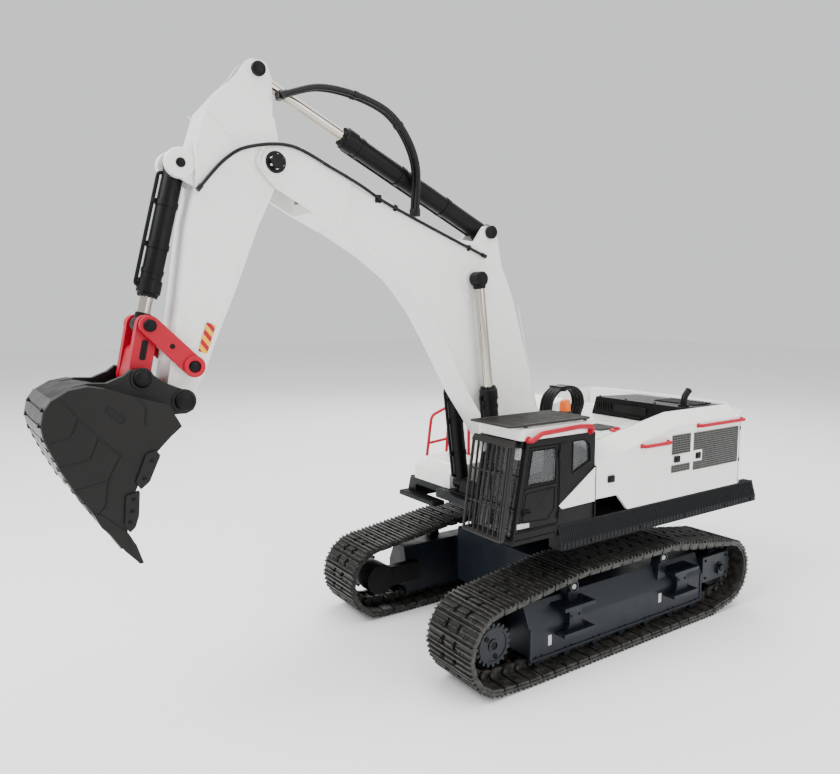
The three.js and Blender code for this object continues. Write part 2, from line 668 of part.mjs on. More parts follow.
function cabShell() {
  const [x0, x1] = CAB_X;
  const deckTop = DECK_Z[1] + GAP;
  const step = DECK_Y[0] - 0.6;
  const w = CAB_WALL;
  const outer = alongX([
    [cabFront(CAB_FLOOR), CAB_FLOOR], [step, CAB_FLOOR], [step, deckTop], [CAB_REAR, deckTop],
    [CAB_REAR, CAB_TOP], [cabFront(CAB_TOP), CAB_TOP],
  ], [x0, x1]);
  const room = alongX([
    [cabFront(CAB_FLOOR + w, w), CAB_FLOOR + w], [step - w, CAB_FLOOR + w], [step - w, deckTop + w],
    [CAB_REAR - w, deckTop + w], [CAB_REAR - w, CAB_TOP - w], [cabFront(CAB_TOP - w, w), CAB_TOP - w],
  ], [x0 + w, x1 - w]);
  const leftWall = [x1 - w - 2, x1 + 2];
  const rightWall = [x0 - 2, x0 + w + 2];
  const rearWall = [CAB_REAR - w - 2, CAB_REAR + 2];
  const [sill, lintel] = WINDSHIELD_Z;
  const frontOpening = [
    [cabFront(sill, -18), sill], [cabFront(sill, 8.6), sill], [cabFront(lintel, 9.2), lintel],
    [cabFront(lintel, -34), lintel],
  ];
  return cut(outer, room,
    alongX(doorOutline(0), leftWall),
    alongX(frontOpening, [x0 + 5.5, x1 - 5.5]),
    alongX(REAR_QUARTER, leftWall),
    box(rightWall, RIGHT_WINDOW.y, RIGHT_WINDOW.z),
    box([x0 + 10, x1 - 10], rearWall, REAR_WINDOW_Z));
}

function cabDoor() {
  const x1 = CAB_X[1];
  return fuse(
    alongX(doorOutline(0.4), [x1 - DOOR_THICKNESS, x1], [windowOutline(0)]),
    box([x1 - 0.5, x1 + 2.5], [-154, -146], [176, 179]),
  );
}

function windshield() {
  const [low, high] = [WINDSHIELD_Z[0] + 0.4, WINDSHIELD_Z[1] - 0.4];
  const pane = [
    [cabFront(low, 1), low], [cabFront(low, 3), low], [cabFront(high, 3), high], [cabFront(high, 1), high],
  ];
  return alongX(pane, [CAB_X[0] + 5.8, CAB_X[1] - 5.8]);
}

function operatorSeat() {
  const floor = DECK_Z[1] + GAP + CAB_WALL + GAP;
  const { x: [x0, x1], y, z: [z0, z1], backTop, headTop } = SEAT;
  const narrow = [x0 + 7, x1 - 7];
  const back = y[1];
  const rest = [[back - 8, z1 - 3], [back + 2, z1 - 3], [back + 11, backTop], [back + 1, backTop, 3]];
  const headrest = [
    [back + 3, backTop - 1], [back + 9, backTop - 1], [back + 12, headTop, 2], [back + 5, headTop, 2],
  ];
  return fuse(
    box(narrow, [back - 20, back - 4], [floor, z0 + 1]),
    box([x0, x1], y, [z0, z1]),
    alongX(rest, [x0 + 1, x1 - 1]),
    alongX(headrest, narrow),
  );
}

function cabRoof() {
  const { x: [x0, x1], y: [y0, y1], top } = CAB_ROOF;
  return alongZ([[x0, y0, 7], [x1, y0, 7], [x1, y1, 7], [x0, y1, 7]], [CAB_TOP + GAP, top]);
}

// openings of a grating between the limits, with bars of one width round and between them
function openings(count, [low, high], bar) {
  const step = (high - low - bar) / count;
  return Array.from({ length: count }, (_, i) => [low + bar + i * step, low + (i + 1) * step]);
}

function roofGuard() {
  const { x, y, z, slots, bar: width } = ROOF_GUARD;
  const foot = 4;
  const corners = [x[0] + 3, x[1] - 6.5].flatMap((a) => [y[0] + 23, y[1] - 7].map((b) => [a, b]));
  const feet = corners.map(([a, b]) => box([a, a + foot], [b, b + foot], [CAB_ROOF.top + GAP, z[0] + 0.6]));
  const holes = openings(slots, y, width).map((slot) => box([x[0] + 3, x[1] - 3], slot, [z[0] - 4, z[1] + 4]));
  return fuse(cut(box(x, y, z), ...holes), ...feet);
}

function frontGuard() {
  const { x, y, z, lean, bar: width } = FRONT_GUARD;
  const slope = lean / (z[1] - z[0]);
  const shear = new THREE.Matrix4().set(1, 0, 0, 0, 0, 1, slope, -slope * z[0], 0, 0, 1, 0, 0, 0, 0, 1);
  const through = [y[0] - 3, y[1] + 4];
  const columns = openings(8, x, width);
  const windows = openings(3, z, width).flatMap((row) => columns.map((column) => box(column, through, row)));
  const grid = cut(box(x, y, z), ...windows).applyMatrix4(shear);
  const middle = (h) => (y[0] + y[1]) / 2 + slope * (h - z[0]);
  const lug = (low, [a, b]) => {
    const ends = (c) => [low, low + 3].flatMap((h) => [[c, middle(h), h], [c, cabFront(h, -GAP), h]]);
    return hull(...ends(a), ...ends(b));
  };
  const spans = [[x[0] + 3, x[0] + 7], [x[1] - 6, x[1] - 2]];
  return fuse(grid, ...[z[0] + 1, z[1] - 5].flatMap((low) => spans.map((span) => lug(low, span))));
}

// The white plate behind the door, rising to the rear corner of the cab.
function cornerPanel() {
  const x = CAB_ROOF.x[1];
  return alongX([[-105.4, 178], [-101, 174], [-52.6, 175], [-52.6, 212]], [x, x + 1.4]);
}

add(cab, 'cab_shell', cabShell(), PAINT.black);
add(cab, 'cab_door', cabDoor(), PAINT.black);
add(cab, 'door_window', alongX(windowOutline(0.3), [CAB_X[1] - 2.4, CAB_X[1] - 0.8]), PAINT.glass);
add(cab, 'windshield', windshield(), PAINT.glass);
add(cab, 'operator_seat', operatorSeat(), PAINT.rubber);
add(cab, 'cab_roof', cabRoof(), PAINT.white);
add(cab, 'roof_guard', roofGuard(), PAINT.black);
add(cab, 'front_guard', frontGuard(), PAINT.black);
add(cab, 'cab_corner_panel', cornerPanel(), PAINT.white);

// ---------------------------------------------------------------- rails and fittings
function ladderRail() {
  const x = LADDER_X;
  const foot = DECK_Z[1] + GAP;
  return fuse(
    bar([[x, -84, foot], [x, -73, 235], [x, -43, 246], [x, -50, foot]], RAIL_R),
    tube([[x, -78, 198], [x, -48, 201]], RAIL_R, { steps: 1 }),
    roundZ([foot, foot + 2], [x, -84], 4, 12),
    roundZ([foot, foot + 2], [x, -50], 4, 12),
  );
}

function sideRail([y0, y1], z) {
  const x = BODY_X + GAP;
  const out = x + RAIL_OUT;
  return bar([[x, y0, z], [out, y0, z], [out, y1, z], [x, y1, z]], RAIL_R, 4);
}

function cabRail() {
  const [x, out] = [CAB_ROOF.x[1] + 0.5, CAB_ROOF.x[1] + 5];
  return bar([[x, -149, 255], [out, -149, 255], [out, -62, 257], [x, -62, 257]], RAIL_R, 4);
}

function rightInnerRail() {
  const x = -88;
  return bar([[x, -45, FRONT_BOX.top], [x, -45, 250], [x, 2, 252], [x, 2, 243]], RAIL_R);
}

function beaconPost() {
  const { x, y, z: [foot, seat], r } = BEACON;
  return fuse(roundZ([foot, seat - 0.5], [x, y], 3, 12), roundZ([seat - 2.5, seat], [x, y], r + 1, 20));
}

function beacon() {
  const { x, y, z: [, seat, top], r } = BEACON;
  return roundZ([seat + GAP, top], [x, y], r, 20);
}

// the bundle of hoses that rises behind the boom foot and bends back into the cover
function hoseArch() {
  const path = [
    [12, 217], [9, 232], [8, 252], [13, 268], [28, 278], [48, 278], [61, 270], [65, 257], [61, 246], [58, 237],
  ];
  const { r, x: places } = HOSE_ARCH;
  return fuse(...places.map((x) => tube(path.map(([y, z]) => [x, y, z]), r, { sides: 6, steps: 22 })));
}

add(house, 'rail_cab_roof', cabRail(), PAINT.red);
add(house, 'rail_left_front', sideRail([23, 69], 226), PAINT.red);
add(house, 'rail_left_rear', sideRail([125, 214], 240), PAINT.red);
add(house, 'rail_right_ladder', ladderRail(), PAINT.red);
add(house, 'rail_right_inner', rightInnerRail(), PAINT.red);
add(house, 'beacon_post', beaconPost(), PAINT.black);
add(house, 'beacon', beacon(), PAINT.amber);
add(house, 'hose_arch', hoseArch(), PAINT.rubber);

// ---------------------------------------------------------------- boom, arm and bucket
// the same outline drawn a wall's thickness further in
function shrink(corners, wall) {
  const points = corners.map(([a, b]) => new THREE.Vector2(a, b));
  const inward = THREE.ShapeUtils.area(points) > 0 ? 1 : -1;
  const edge = (from, to) => {
    const along = to.clone().sub(from).normalize();
    const shift = new THREE.Vector2(-along.y, along.x).multiplyScalar(inward * wall);
    return { from: from.clone().add(shift), along };
  };
  return points.map((point, i) => {
    const one = edge(points.at(i - 1), point);
    const two = edge(point, points[(i + 1) % points.length]);
    const turn = one.along.cross(two.along);
    const reach = two.from.clone().sub(one.from).cross(two.along) / turn;
    return one.from.clone().addScaledVector(one.along, reach).toArray();
  });
}

function bothSides(...geometries) {
  return [...geometries, ...geometries.map(mirrorX)];
}

function boom() {
  const [fy, fz] = BOOM_FOOT;
  const [ty, tz] = ARM_PIVOT;
  const side = [
    [-322, 470], [-294, 457], [-249, 432], [-215, 408, 12], [-187, 375], [-168, 345], [-132, 283],
    [fy - 14, fz - 10],
    [fy + 14, fz - 10], [fy + 15, fz + 14], [-27, 259], [-60, 360], [-69, 388], [-83, 420, 10], [-103, 444, 10],
    [-120, 451], [-156, 454], [-215, 476], [-249, 492], [-293, 510], [-333, 524],
  ];
  const body = alongX(side, [-BOOM_HALF, BOOM_HALF]);
  const upper = side.filter(([, z]) => z > 250);
  const hollow = alongX(shrink(upper, PLATE), [-BOOM_HALF + PLATE, BOOM_HALF - PLATE]);
  const mouth = alongX([[-345, 514], [-345, 482], [-300, 478], [-300, 500]], [-14, 14]);
  const cheek = [
    [-322, 470], [-294, 457], [-280, 505], [-335, 528],
    [ty - 6, tz + 18, 8], [ty - 19, tz, 10], [ty - 2, tz - 20, 8],
  ];
  const nose = [
    alongX(cheek, CHEEK_X),
    roundX([NOSE_HALF - 1, NOSE_HALF + 2.5], ARM_PIVOT, 13),
    roundX([NOSE_HALF + 1.5, NOSE_HALF + 7.5], ARM_PIVOT, 7, 6),
    roundX([BOOM_HALF - 1, BOOM_HALF + 2.1], BOOM_CYL_TOP, 12),
  ];
  const [cy, cz] = ARM_CYL_BASE;
  const lug = [[-126, 445], [cy - 9, cz + 7, 4], [cy + 8, cz + 7, 5], [-80, 424], [-90, 410]];
  const foot = roundX([-BOOM_HALF, BOOM_HALF], BOOM_FOOT, 17, 20);
  const pins = [roundX([-24, 24], ARM_PIVOT, 6), roundX([-17, 17], ARM_CYL_BASE, 4.5, 16)];
  const whole = fuse(body, foot, ...bothSides(...nose), ...pins, ...bothSides(alongX(lug, [10.8, 15])));
  return cut(whole, hollow, mouth, roundX([-30, 30], BOOM_FOOT, PIN_BORE.foot));
}

function arm() {
  const [py, pz] = BUCKET_PIVOT;
  const side = [
    [-431, 486], [-431, 519], [-420, 553], [-398, 578], [-358, 551], [-355, 533], [-347, 511, 10], [-360, 487],
    [-376, 454], [-399, 396], [-420, 348], [-430, 321],
    [py + 9, pz - 2], [py - 9, pz + 2], [-462, 315], [-456, 349],
    [-449, 387], [-439, 454], [-434, 473],
  ];
  const body = alongX(side, [-ARM_HALF, ARM_HALF]);
  const upper = side.filter(([, z]) => z > 340);
  const hollow = alongX(shrink(upper, PLATE), [-ARM_HALF + PLATE, ARM_HALF - PLATE]);
  const mouth = alongX([[-392, 590], [-392, 550], [-372, 550], [-372, 590]], [-6, 6]);
  const topLug = [
    [-400, 575], [-388, 589], [-379, 602, 4], [-363, 602, 4], [-357, 588], [-357, 551], [-380, 560],
  ];
  const [by, bz] = BUCKET_CYL_BASE;
  const frontLug = [[-428, 524], [by - 4, bz + 9, 4], [by - 9, bz + 2, 4], [by - 7, bz - 9, 3], [-428, 484]];
  const lugX = [9.3, 14];
  const whole = fuse(body,
    roundX([-ARM_HALF - 3, ARM_HALF + 3], BUCKET_PIVOT, 10.5, 20),
    roundX([-ARM_HALF - 2, ARM_HALF + 2], LEVER_PIVOT, 9),
    roundX([-16, 16], BUCKET_CYL_BASE, 4, 16),
    ...bothSides(alongX(topLug, lugX), alongX(frontLug, lugX), roundX([13, 16], ARM_TOP, 7, 16)));
  return cut(whole, hollow, mouth,
    roundX([-30, 30], ARM_PIVOT, PIN_BORE.arm),
    roundX([-30, 30], BUCKET_PIVOT, PIN_BORE.bucket),
    roundX([-30, 30], LEVER_PIVOT, PIN_BORE.lever, 16));
}

function bucket() {
  const shell = cut(
    alongX([
      [-459.5, 282], [-462.5, 288], [-470, 301], [-495, 309], [-519, 317.5], [-531, 319.8], [-545, 317.5],
      [-556, 311.2], [-562.3, 302.5], [-564.8, 291], [-563, 280], [-553, 256], [-543.5, 237], [-531.5, 219],
      [-511, 186], [-506, 186], [-506.5, 200], [-503, 222], [-496, 238.5], [-488, 252], [-480, 263], [-469, 274],
    ], [-BUCKET_HALF, BUCKET_HALF]),
    alongX([
      [-430, 285], [-464, 286.5], [-471.5, 297.5], [-496, 305.4], [-520, 313.9], [-531, 316.2], [-544, 314],
      [-553.8, 308.3], [-559, 300.6], [-561.2, 290.6], [-559.6, 281], [-549.8, 257.6], [-540.5, 238.9],
      [-528.5, 220.8], [-506.5, 185], [-500, 160], [-430, 160],
    ], [-BUCKET_HALF + BUCKET_WALL, BUCKET_HALF - BUCKET_WALL]));
  const ear = [
    [-522, 316], [-514, 318.5], [-501, 323.5], [-494, 329], [-488, 331], [-480, 328], [-470, 319],
    [-452, 311], [-443.5, 305], [-441.5, 299], [-444, 293], [-450, 290], [-466, 290], [-474, 300],
  ];
  const tooth = [
    [-528, 212], [-513, 203], [-505, 197], [-499, 185.5], [-494, 170], [-497, 169.8], [-508, 182], [-524, 205.5],
  ];
  const { count, width } = TEETH;
  const pitch = (2 * BUCKET_HALF - width - 6) / (count - 1);
  const teeth = Array.from({ length: count }, (_, i) => {
    const start = i * pitch - BUCKET_HALF + 3;
    return alongX(tooth, [start, start + width]);
  });
  const cutters = [
    [[-490, 262], [-482, 264.5], [-478.5, 260], [-488, 239], [-495, 233.5], [-499, 240]],
    [[-507, 230], [-496, 232], [-497.5, 212], [-500.5, 203], [-505, 199], [-509, 206]],
  ].map((corners) => alongX(corners, [BUCKET_HALF - 3, BUCKET_HALF + 1.5]));
  const capX = [BUCKET_EAR_X[1] - 1, BUCKET_EAR_X[1] + 3];
  return fuse(shell, ...bothSides(alongX(ear, BUCKET_EAR_X)),
    roundX([-capX[1], capX[1]], BUCKET_PIVOT, 5, 16),
    ...bothSides(roundX(capX, BUCKET_PIVOT, 8, 16)),
    ...bothSides(roundX(capX, LINK_PIN, 7, 16)),
    ...bothSides(...cutters),
    ...teeth);
}

function bucketLever() {
  const plate = strap(LEVER_X, LEVER_PIVOT, 9, LEVER_TOP, 8.5);
  const end = LEVER_X[1] + 2.5;
  const stub = roundX([12, end], LEVER_TOP, 4, 16);
  return fuse(roundX([-end, end], LEVER_PIVOT, 4, 16), ...bothSides(plate, stub));
}

function bucketLink() {
  const bore = roundX([-30, 30], LEVER_TOP, PIN_BORE.lever, 16);
  const plate = cut(strap(LINK_SIDE_X, LEVER_TOP, 9, LINK_PIN, 9), bore);
  const between = strap([-20, 20], [-482, 342], 7, LINK_PIN, 8.5);
  return fuse(...bothSides(plate), between, roundX([-25, 25], LINK_PIN, 7));
}

// A hydraulic ram between two pins: the rod runs in a real bore of the barrel.
function ram({ x, base, tip, barrel, r, rodR, rodFrom, eye, bore, pinR }) {
  const [dy, dz] = [tip[0] - base[0], tip[1] - base[1]];
  const length = Math.hypot(dy, dz);
  const place = (geometry) => geometry.rotateX(Math.atan2(dz, dy)).translate(x, base[0], base[1]);
  const alongRam = (from, to, radius, sides) => new THREE.CylinderGeometry(radius, radius, to - from, sides)
    .translate(0, (from + to) / 2, 0);
  const tubeBody = fuse(
    roundX([-eye, eye], [0, 0], r - 1.5),
    alongRam(4, barrel - 12, r, 16),
    alongRam(barrel - 14, barrel, r + 1.3, 16));
  const pinBore = roundX([-20, 20], [0, 0], pinR + 0.4);
  const hollow = cut(tubeBody, pinBore, alongRam(bore, barrel + 5, rodR + 0.5, 16));
  const rod = fuse(
    alongRam(rodFrom, length - 3, rodR, 16),
    roundX([-7, 7], [length, 0], r - 1.5),
    roundX([-8.5, 8.5], [length, 0], 4, 12));
  return { barrel: place(hollow), rod: place(rod) };
}

const boomRam = ram({
  x: BOOM_CYL_X, base: BOOM_CYL_BASE, tip: BOOM_CYL_TOP, eye: 7.5, pinR: 4,
  barrel: 125, r: 9, bore: 46, rodR: 5.5, rodFrom: 88,
});
const armRam = ram({
  x: 0, base: ARM_CYL_BASE, tip: ARM_TOP, eye: 10, pinR: 4.5,
  barrel: 199, r: 10, bore: 108, rodR: 5.8, rodFrom: 148,
});
const bucketRam = ram({
  x: 0, base: BUCKET_CYL_BASE, tip: LEVER_TOP, eye: 8.5, pinR: 4,
  barrel: 117, r: 9, bore: 28, rodR: 5.5, rodFrom: 46,
});

// A pair of hoses held together by a clamp so that they make one piece.
function armHoses() {
  const path = [[-353, 572], [-310, 586], [-260, 582], [-226, 566], [-203, 528], [-203, 474]];
  const runs = ARM_HOSE.x.map((x) => tube(path.map(([y, z]) => [x, y, z]), ARM_HOSE.r));
  const clampX = [ARM_HOSE.x[0] - 1, ARM_HOSE.x[1] + 1];
  return fuse(...runs, box(clampX, [-354, -349], [568, 577]), box(clampX, [-206, -200], [474, 483]));
}

function bucketHose() {
  return tube([
    [24, -432, 481], [24, -407, 509], [28, -385, 522], [28, -345, 527], [27.6, -302, 511], [27.6, -274, 499],
    [24.6, -245, 486], [24.6, -215, 474], [24.6, -156, 452], [24.6, -112, 436],
  ], BUCKET_HOSE_R, { sides: 6, steps: 24 });
}

add(front, 'boom', boom(), PAINT.white);
add(front, 'arm', arm(), PAINT.white);
add(front, 'bucket', bucket(), PAINT.bucketGrey);
add(front, 'bucket_lever', bucketLever(), PAINT.red);
add(front, 'bucket_link', bucketLink(), PAINT.red);
addPair(front, 'boom_ram_barrel', boomRam.barrel, PAINT.black);
addPair(front, 'boom_ram_rod', boomRam.rod, PAINT.chrome);
add(front, 'arm_ram_barrel', armRam.barrel, PAINT.black);
add(front, 'arm_ram_rod', armRam.rod, PAINT.chrome);
add(front, 'bucket_ram_barrel', bucketRam.barrel, PAINT.black);
add(front, 'bucket_ram_rod', bucketRam.rod, PAINT.chrome);
add(front, 'arm_hoses', armHoses(), PAINT.rubber);
add(front, 'bucket_hose', bucketHose(), PAINT.rubber);

// ---------------------------------------------------------------- shared origin
const bounds = new THREE.Box3().setFromObject(machine);
machine.position.y = -(bounds.min.y + bounds.max.y) / 2;

export default excavator;
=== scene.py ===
import math

import bpy
import bmesh
from mathutils import Matrix, Vector


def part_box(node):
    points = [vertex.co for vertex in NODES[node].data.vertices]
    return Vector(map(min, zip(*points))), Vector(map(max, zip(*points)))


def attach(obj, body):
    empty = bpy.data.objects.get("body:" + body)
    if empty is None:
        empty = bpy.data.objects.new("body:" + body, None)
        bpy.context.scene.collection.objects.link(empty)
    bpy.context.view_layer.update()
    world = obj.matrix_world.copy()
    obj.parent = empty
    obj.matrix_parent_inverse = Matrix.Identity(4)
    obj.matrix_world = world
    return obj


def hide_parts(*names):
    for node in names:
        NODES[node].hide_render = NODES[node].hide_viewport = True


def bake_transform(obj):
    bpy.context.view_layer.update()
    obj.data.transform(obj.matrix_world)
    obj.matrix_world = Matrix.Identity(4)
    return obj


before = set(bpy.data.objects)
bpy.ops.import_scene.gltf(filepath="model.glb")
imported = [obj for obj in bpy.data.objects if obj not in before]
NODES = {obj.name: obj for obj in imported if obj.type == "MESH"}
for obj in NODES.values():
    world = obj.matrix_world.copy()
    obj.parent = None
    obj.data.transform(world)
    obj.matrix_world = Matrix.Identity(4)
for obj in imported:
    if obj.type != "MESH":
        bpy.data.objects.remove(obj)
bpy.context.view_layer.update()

# ------------------------------------------------------------------ frame
# Shapes are drawn in millimetres about the slew axis, as the machine is laid out,
# and moved into the row frame (metres) when a piece is finished.
ring_low, ring_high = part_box("slew_ring")
SHIFT = (ring_low.y + ring_high.y) / 2
MM = 0.001
TO_ROW = Matrix.Translation((0, SHIFT, 0)) @ Matrix.Scale(MM, 4)

# ------------------------------------------------------------------ camera
# Solved from the photo: places in machine millimetres, focal length in pixels of the photo.
CAMERA_AT = Vector((663.8, -641.4, 383.8))
CAMERA_AIM = Vector((-406.9, 97.0, 237.4))
FOCAL_PX = 736.4
WIDTH_PX = 840
SENSOR_MM = 36

camera_data = bpy.data.cameras.new("camera")
camera_data.sensor_fit = "HORIZONTAL"
camera_data.sensor_width = SENSOR_MM
camera_data.lens = SENSOR_MM * FOCAL_PX / WIDTH_PX
camera_data.clip_start = 0.01
camera_data.clip_end = 100
camera = bpy.data.objects.new("camera", camera_data)
bpy.context.scene.collection.objects.link(camera)
camera.location = TO_ROW @ CAMERA_AT
camera.rotation_euler = (CAMERA_AIM - CAMERA_AT).to_track_quat("-Z", "Y").to_euler()
bpy.context.scene.camera = camera


# ------------------------------------------------------------------ materials
def shader(name, color, rough, metal=0.0, grain=0.0, grain_scale=900.0, mottle=0.12, mottle_scale=18.0,
           edge=0.0, wear_and_highlight_color=(0.5, 0.5, 0.48), coat=0.0, spread=0.08, shine=0.5):
    """A moulded or painted surface: slow colour mottle, uneven gloss, fine grain, and lighter edges that are
    part rubbed wear, part painted highlight.
    """
    m = bpy.data.materials.new(name)
    m.use_nodes = True
    nodes, links = m.node_tree.nodes, m.node_tree.links
    bsdf = nodes["Principled BSDF"]
    bsdf.inputs["Metallic"].default_value = metal
    bsdf.inputs["Coat Weight"].default_value = coat
    bsdf.inputs["Coat Roughness"].default_value = 0.12
    bsdf.inputs["Specular IOR Level"].default_value = shine
    place = nodes.new("ShaderNodeTexCoord")

    def noise(scale, detail=4.0):
        n = nodes.new("ShaderNodeTexNoise")
        n.inputs["Scale"].default_value = scale
        n.inputs["Detail"].default_value = detail
        links.new(place.outputs["Object"], n.inputs["Vector"])
        return n.outputs["Fac"]

    def ramp(source, low, high, a=(0, 0, 0, 1), b=(1, 1, 1, 1)):
        r = nodes.new("ShaderNodeValToRGB")
        r.color_ramp.elements[0].position = low
        r.color_ramp.elements[1].position = high
        r.color_ramp.elements[0].color = a
        r.color_ramp.elements[1].color = b
        links.new(source, r.inputs["Fac"])
        return r.outputs["Color"]

    def mix(factor, a, b):
        n = nodes.new("ShaderNodeMix")
        n.data_type = "RGBA"
        links.new(factor, n.inputs["Factor"])
        for socket, value in (("A", a), ("B", b)):
            target = [s for s in n.inputs if s.name == socket and s.type == "RGBA"][0]
            if isinstance(value, tuple):
                target.default_value = (*value, 1)
            else:
                links.new(value, target)
        return [s for s in n.outputs if s.type == "RGBA"][0]

    dark = tuple(c * (1 - mottle) for c in color)
    light = tuple(min(1, c * (1 + mottle * 0.6)) for c in color)
    shade = mix(ramp(noise(mottle_scale), 0.3, 0.7), dark, light)
    # Convex edges turn towards the lighter edge colour in patches: part rubbed wear, part painted highlight
    # along the edges.
    if edge:
        sharp = nodes.new("ShaderNodeNewGeometry")
        worn_and_highlit_edge = nodes.new("ShaderNodeMath")
        worn_and_highlit_edge.operation = "MULTIPLY"
        links.new(ramp(sharp.outputs["Pointiness"], 0.51, 0.58), worn_and_highlit_edge.inputs[0])
        links.new(ramp(noise(140.0, 5.0), 0.4, 0.62, (0, 0, 0, 1), (edge, edge, edge, 1)), worn_and_highlit_edge.inputs[1])
        shade = mix(worn_and_highlit_edge.outputs[0], shade, wear_and_highlight_color)
    links.new(shade, bsdf.inputs["Base Color"])
    low, high = max(0.02, rough - spread), min(1, rough + spread)
    gloss = ramp(noise(70.0, 6.0), 0.3, 0.7, (low, low, low, 1), (high, high, high, 1))
    links.new(gloss, bsdf.inputs["Roughness"])
    if grain:
        bump = nodes.new("ShaderNodeBump")
        bump.inputs["Strength"].default_value = grain
        bump.inputs["Distance"].default_value = 0.0002
        links.new(noise(grain_scale, 3.0), bump.inputs["Height"])
        links.new(bump.outputs["Normal"], bsdf.inputs["Normal"])
    return m


def see_through(name, color, transmission, rough=0.04):
    m = shader(name, color, rough, mottle=0.05, spread=0.015)
    bsdf = m.node_tree.nodes["Principled BSDF"]
    bsdf.inputs["Transmission Weight"].default_value = transmission
    bsdf.inputs["IOR"].default_value = 1.45
    return m


WHITE = shader("white_paint", (0.83, 0.83, 0.8), 0.28, grain=0.05, mottle=0.02, coat=0.2)
RED = shader("red_paint", (0.4, 0.0006, 0.017), 0.4, grain=0.08, mottle=0.08, shine=0.25)
BLACK = shader("black_plastic", (0.003, 0.003, 0.0034), 0.42, grain=0.1, mottle=0.2, shine=0.16)
SOFT_BLACK = shader("black_grille", (0.007, 0.0065, 0.006), 0.45, grain=0.15, mottle=0.2, shine=0.18)
GUARD = shader("guard_plastic", (0.016, 0.0145, 0.013), 0.42, grain=0.12, mottle=0.12, shine=0.25)
WALKWAY = shader("walkway", (0.005, 0.0055, 0.0065), 0.48, grain=0.2, mottle=0.2, shine=0.2)
FRAME = shader("frame_grey", (0.0065, 0.0095, 0.014), 0.4, grain=0.12, mottle=0.15, shine=0.28)
# The track shoes' lighter edge colour is part rubbed wear, part painted highlight on the grouser and plate
# edges.
SHOE = shader("track_shoe", (0.016, 0.0155, 0.0138), 0.42, metal=0.15, grain=0.2, mottle=0.2, edge=0.3,
              wear_and_highlight_color=(0.12, 0.115, 0.1), shine=0.35)
DRIVE = shader("drive_metal", (0.009, 0.012, 0.0165), 0.38, grain=0.12, mottle=0.15, shine=0.3)
BUCKET = shader("bucket_paint", (0.0068, 0.006, 0.0053), 0.42, grain=0.2, mottle=0.12, mottle_scale=9.0,
                shine=0.22)
STRIP = shader("wear_strip", (0.04, 0.038, 0.034), 0.38, metal=0.2, grain=0.15, mottle=0.15, shine=0.45)
CHROME = shader("rod_chrome", (0.5, 0.46, 0.4), 0.16, metal=1.0, mottle=0.06, spread=0.05)
STEEL = shader("screw_steel", (0.3, 0.3, 0.29), 0.3, metal=1.0, mottle=0.12)
HOSE = shader("hose_rubber", (0.003, 0.003, 0.0034), 0.34, grain=0.15, mottle=0.2, shine=0.25)
SEAT = shader("seat_vinyl", (0.012, 0.012, 0.013), 0.55, grain=0.5, grain_scale=1600.0, mottle=0.3,
              shine=0.25)
GLASS = see_through("smoked_glass", (0.34, 0.36, 0.37), 0.96)
AMBER = see_through("amber_lens", (0.9, 0.16, 0.004), 0.3, 0.12)
BOARD = shader("circuit_board", (0.008, 0.07, 0.025), 0.45, mottle=0.2)
WRAP = shader("battery_wrap", (0.015, 0.03, 0.12), 0.35, mottle=0.15)
MOTOR = shader("motor_can", (0.16, 0.17, 0.18), 0.3, metal=0.8, mottle=0.1)
LABEL = shader("blank_label", (0.5, 0.5, 0.49), 0.5, mottle=0.06)
YELLOW = shader("stripe_yellow", (0.85, 0.46, 0.0005), 0.4, mottle=0.06, shine=0.3)
MESH = shader("vent_mesh", (0.1, 0.1, 0.095), 0.45, metal=0.2, mottle=0.1)


# ------------------------------------------------------------------ shapes
BEND_STEPS = 5
SHARP = math.radians(32)


def reach(way, a, b):
    """The stretch from a to b on the left (way 1) or right (way -1) side, low end first."""
    return sorted((way * a, way * b))


def rounded(first, second, r=0):
    """The corners of a rectangle given by its two stretches, rounded by r."""
    (a0, a1), (b0, b1) = first, second
    return [(a0, b0, r), (a1, b0, r), (a1, b1, r), (a0, b1, r)]


def turned(axis, t, a, b):
    """The point that lies t along an axis and (a, b) across it."""
    return {"x": (t, a, b), "y": (a, t, b), "z": (a, b, t)}[axis]


def ends(path):
    """Both ends of a path of vectors, each with the direction that leads into the path."""
    return [(a, (b - a).normalized()) for a, b in ((path[0], path[1]), (path[-1], path[-2]))]


def arc_corners(corners, steps=5):
    """(a, b) or (a, b, radius) corners to plain points, with the round ones as arcs."""
    out = []
    n = len(corners)
    for i, corner in enumerate(corners):
        here = Vector(corner[:2])
        r = corner[2] if len(corner) > 2 else 0
        if not r:
            out.append(tuple(here))
            continue
        back = (Vector(corners[i - 1][:2]) - here).normalized()
        ahead = (Vector(corners[(i + 1) % n][:2]) - here).normalized()
        for k in range(steps + 1):
            t = k / steps
            a, b = here + back * r, here + ahead * r
            out.append(tuple(a * (1 - t) ** 2 + here * (2 * t * (1 - t)) + b * t * t))
    return out


def spline(points, per_span):
    """Points along a smooth curve through the given ones (uniform Catmull-Rom)."""
    pts = [Vector(p) for p in points]
    pts = [pts[0] * 2 - pts[1]] + pts + [pts[-1] * 2 - pts[-2]]
    out = []
    for i in range(1, len(pts) - 2):
        p0, p1, p2, p3 = pts[i - 1:i + 3]
        for k in range(per_span):
            t = k / per_span
            out.append(0.5 * ((2 * p1) + (p2 - p0) * t + (2 * p0 - 5 * p1 + 4 * p2 - p3) * t * t
                              + (3 * p1 - p0 - 3 * p2 + p3) * t ** 3))
    out.append(pts[-2])
    return out


def bent(points, r):
    """Straight stretches joined by round corners of radius r."""
    pts = [Vector(p) for p in points]
    out = [pts[0]]
    for i in range(1, len(pts) - 1):
        a = pts[i] + (pts[i - 1] - pts[i]).normalized() * r
        b = pts[i] + (pts[i + 1] - pts[i]).normalized() * r
        for k in range(BEND_STEPS + 1):
            t = k / BEND_STEPS
            out.append(a * (1 - t) ** 2 + pts[i] * (2 * t * (1 - t)) + b * t * t)
    return out + [pts[-1]]


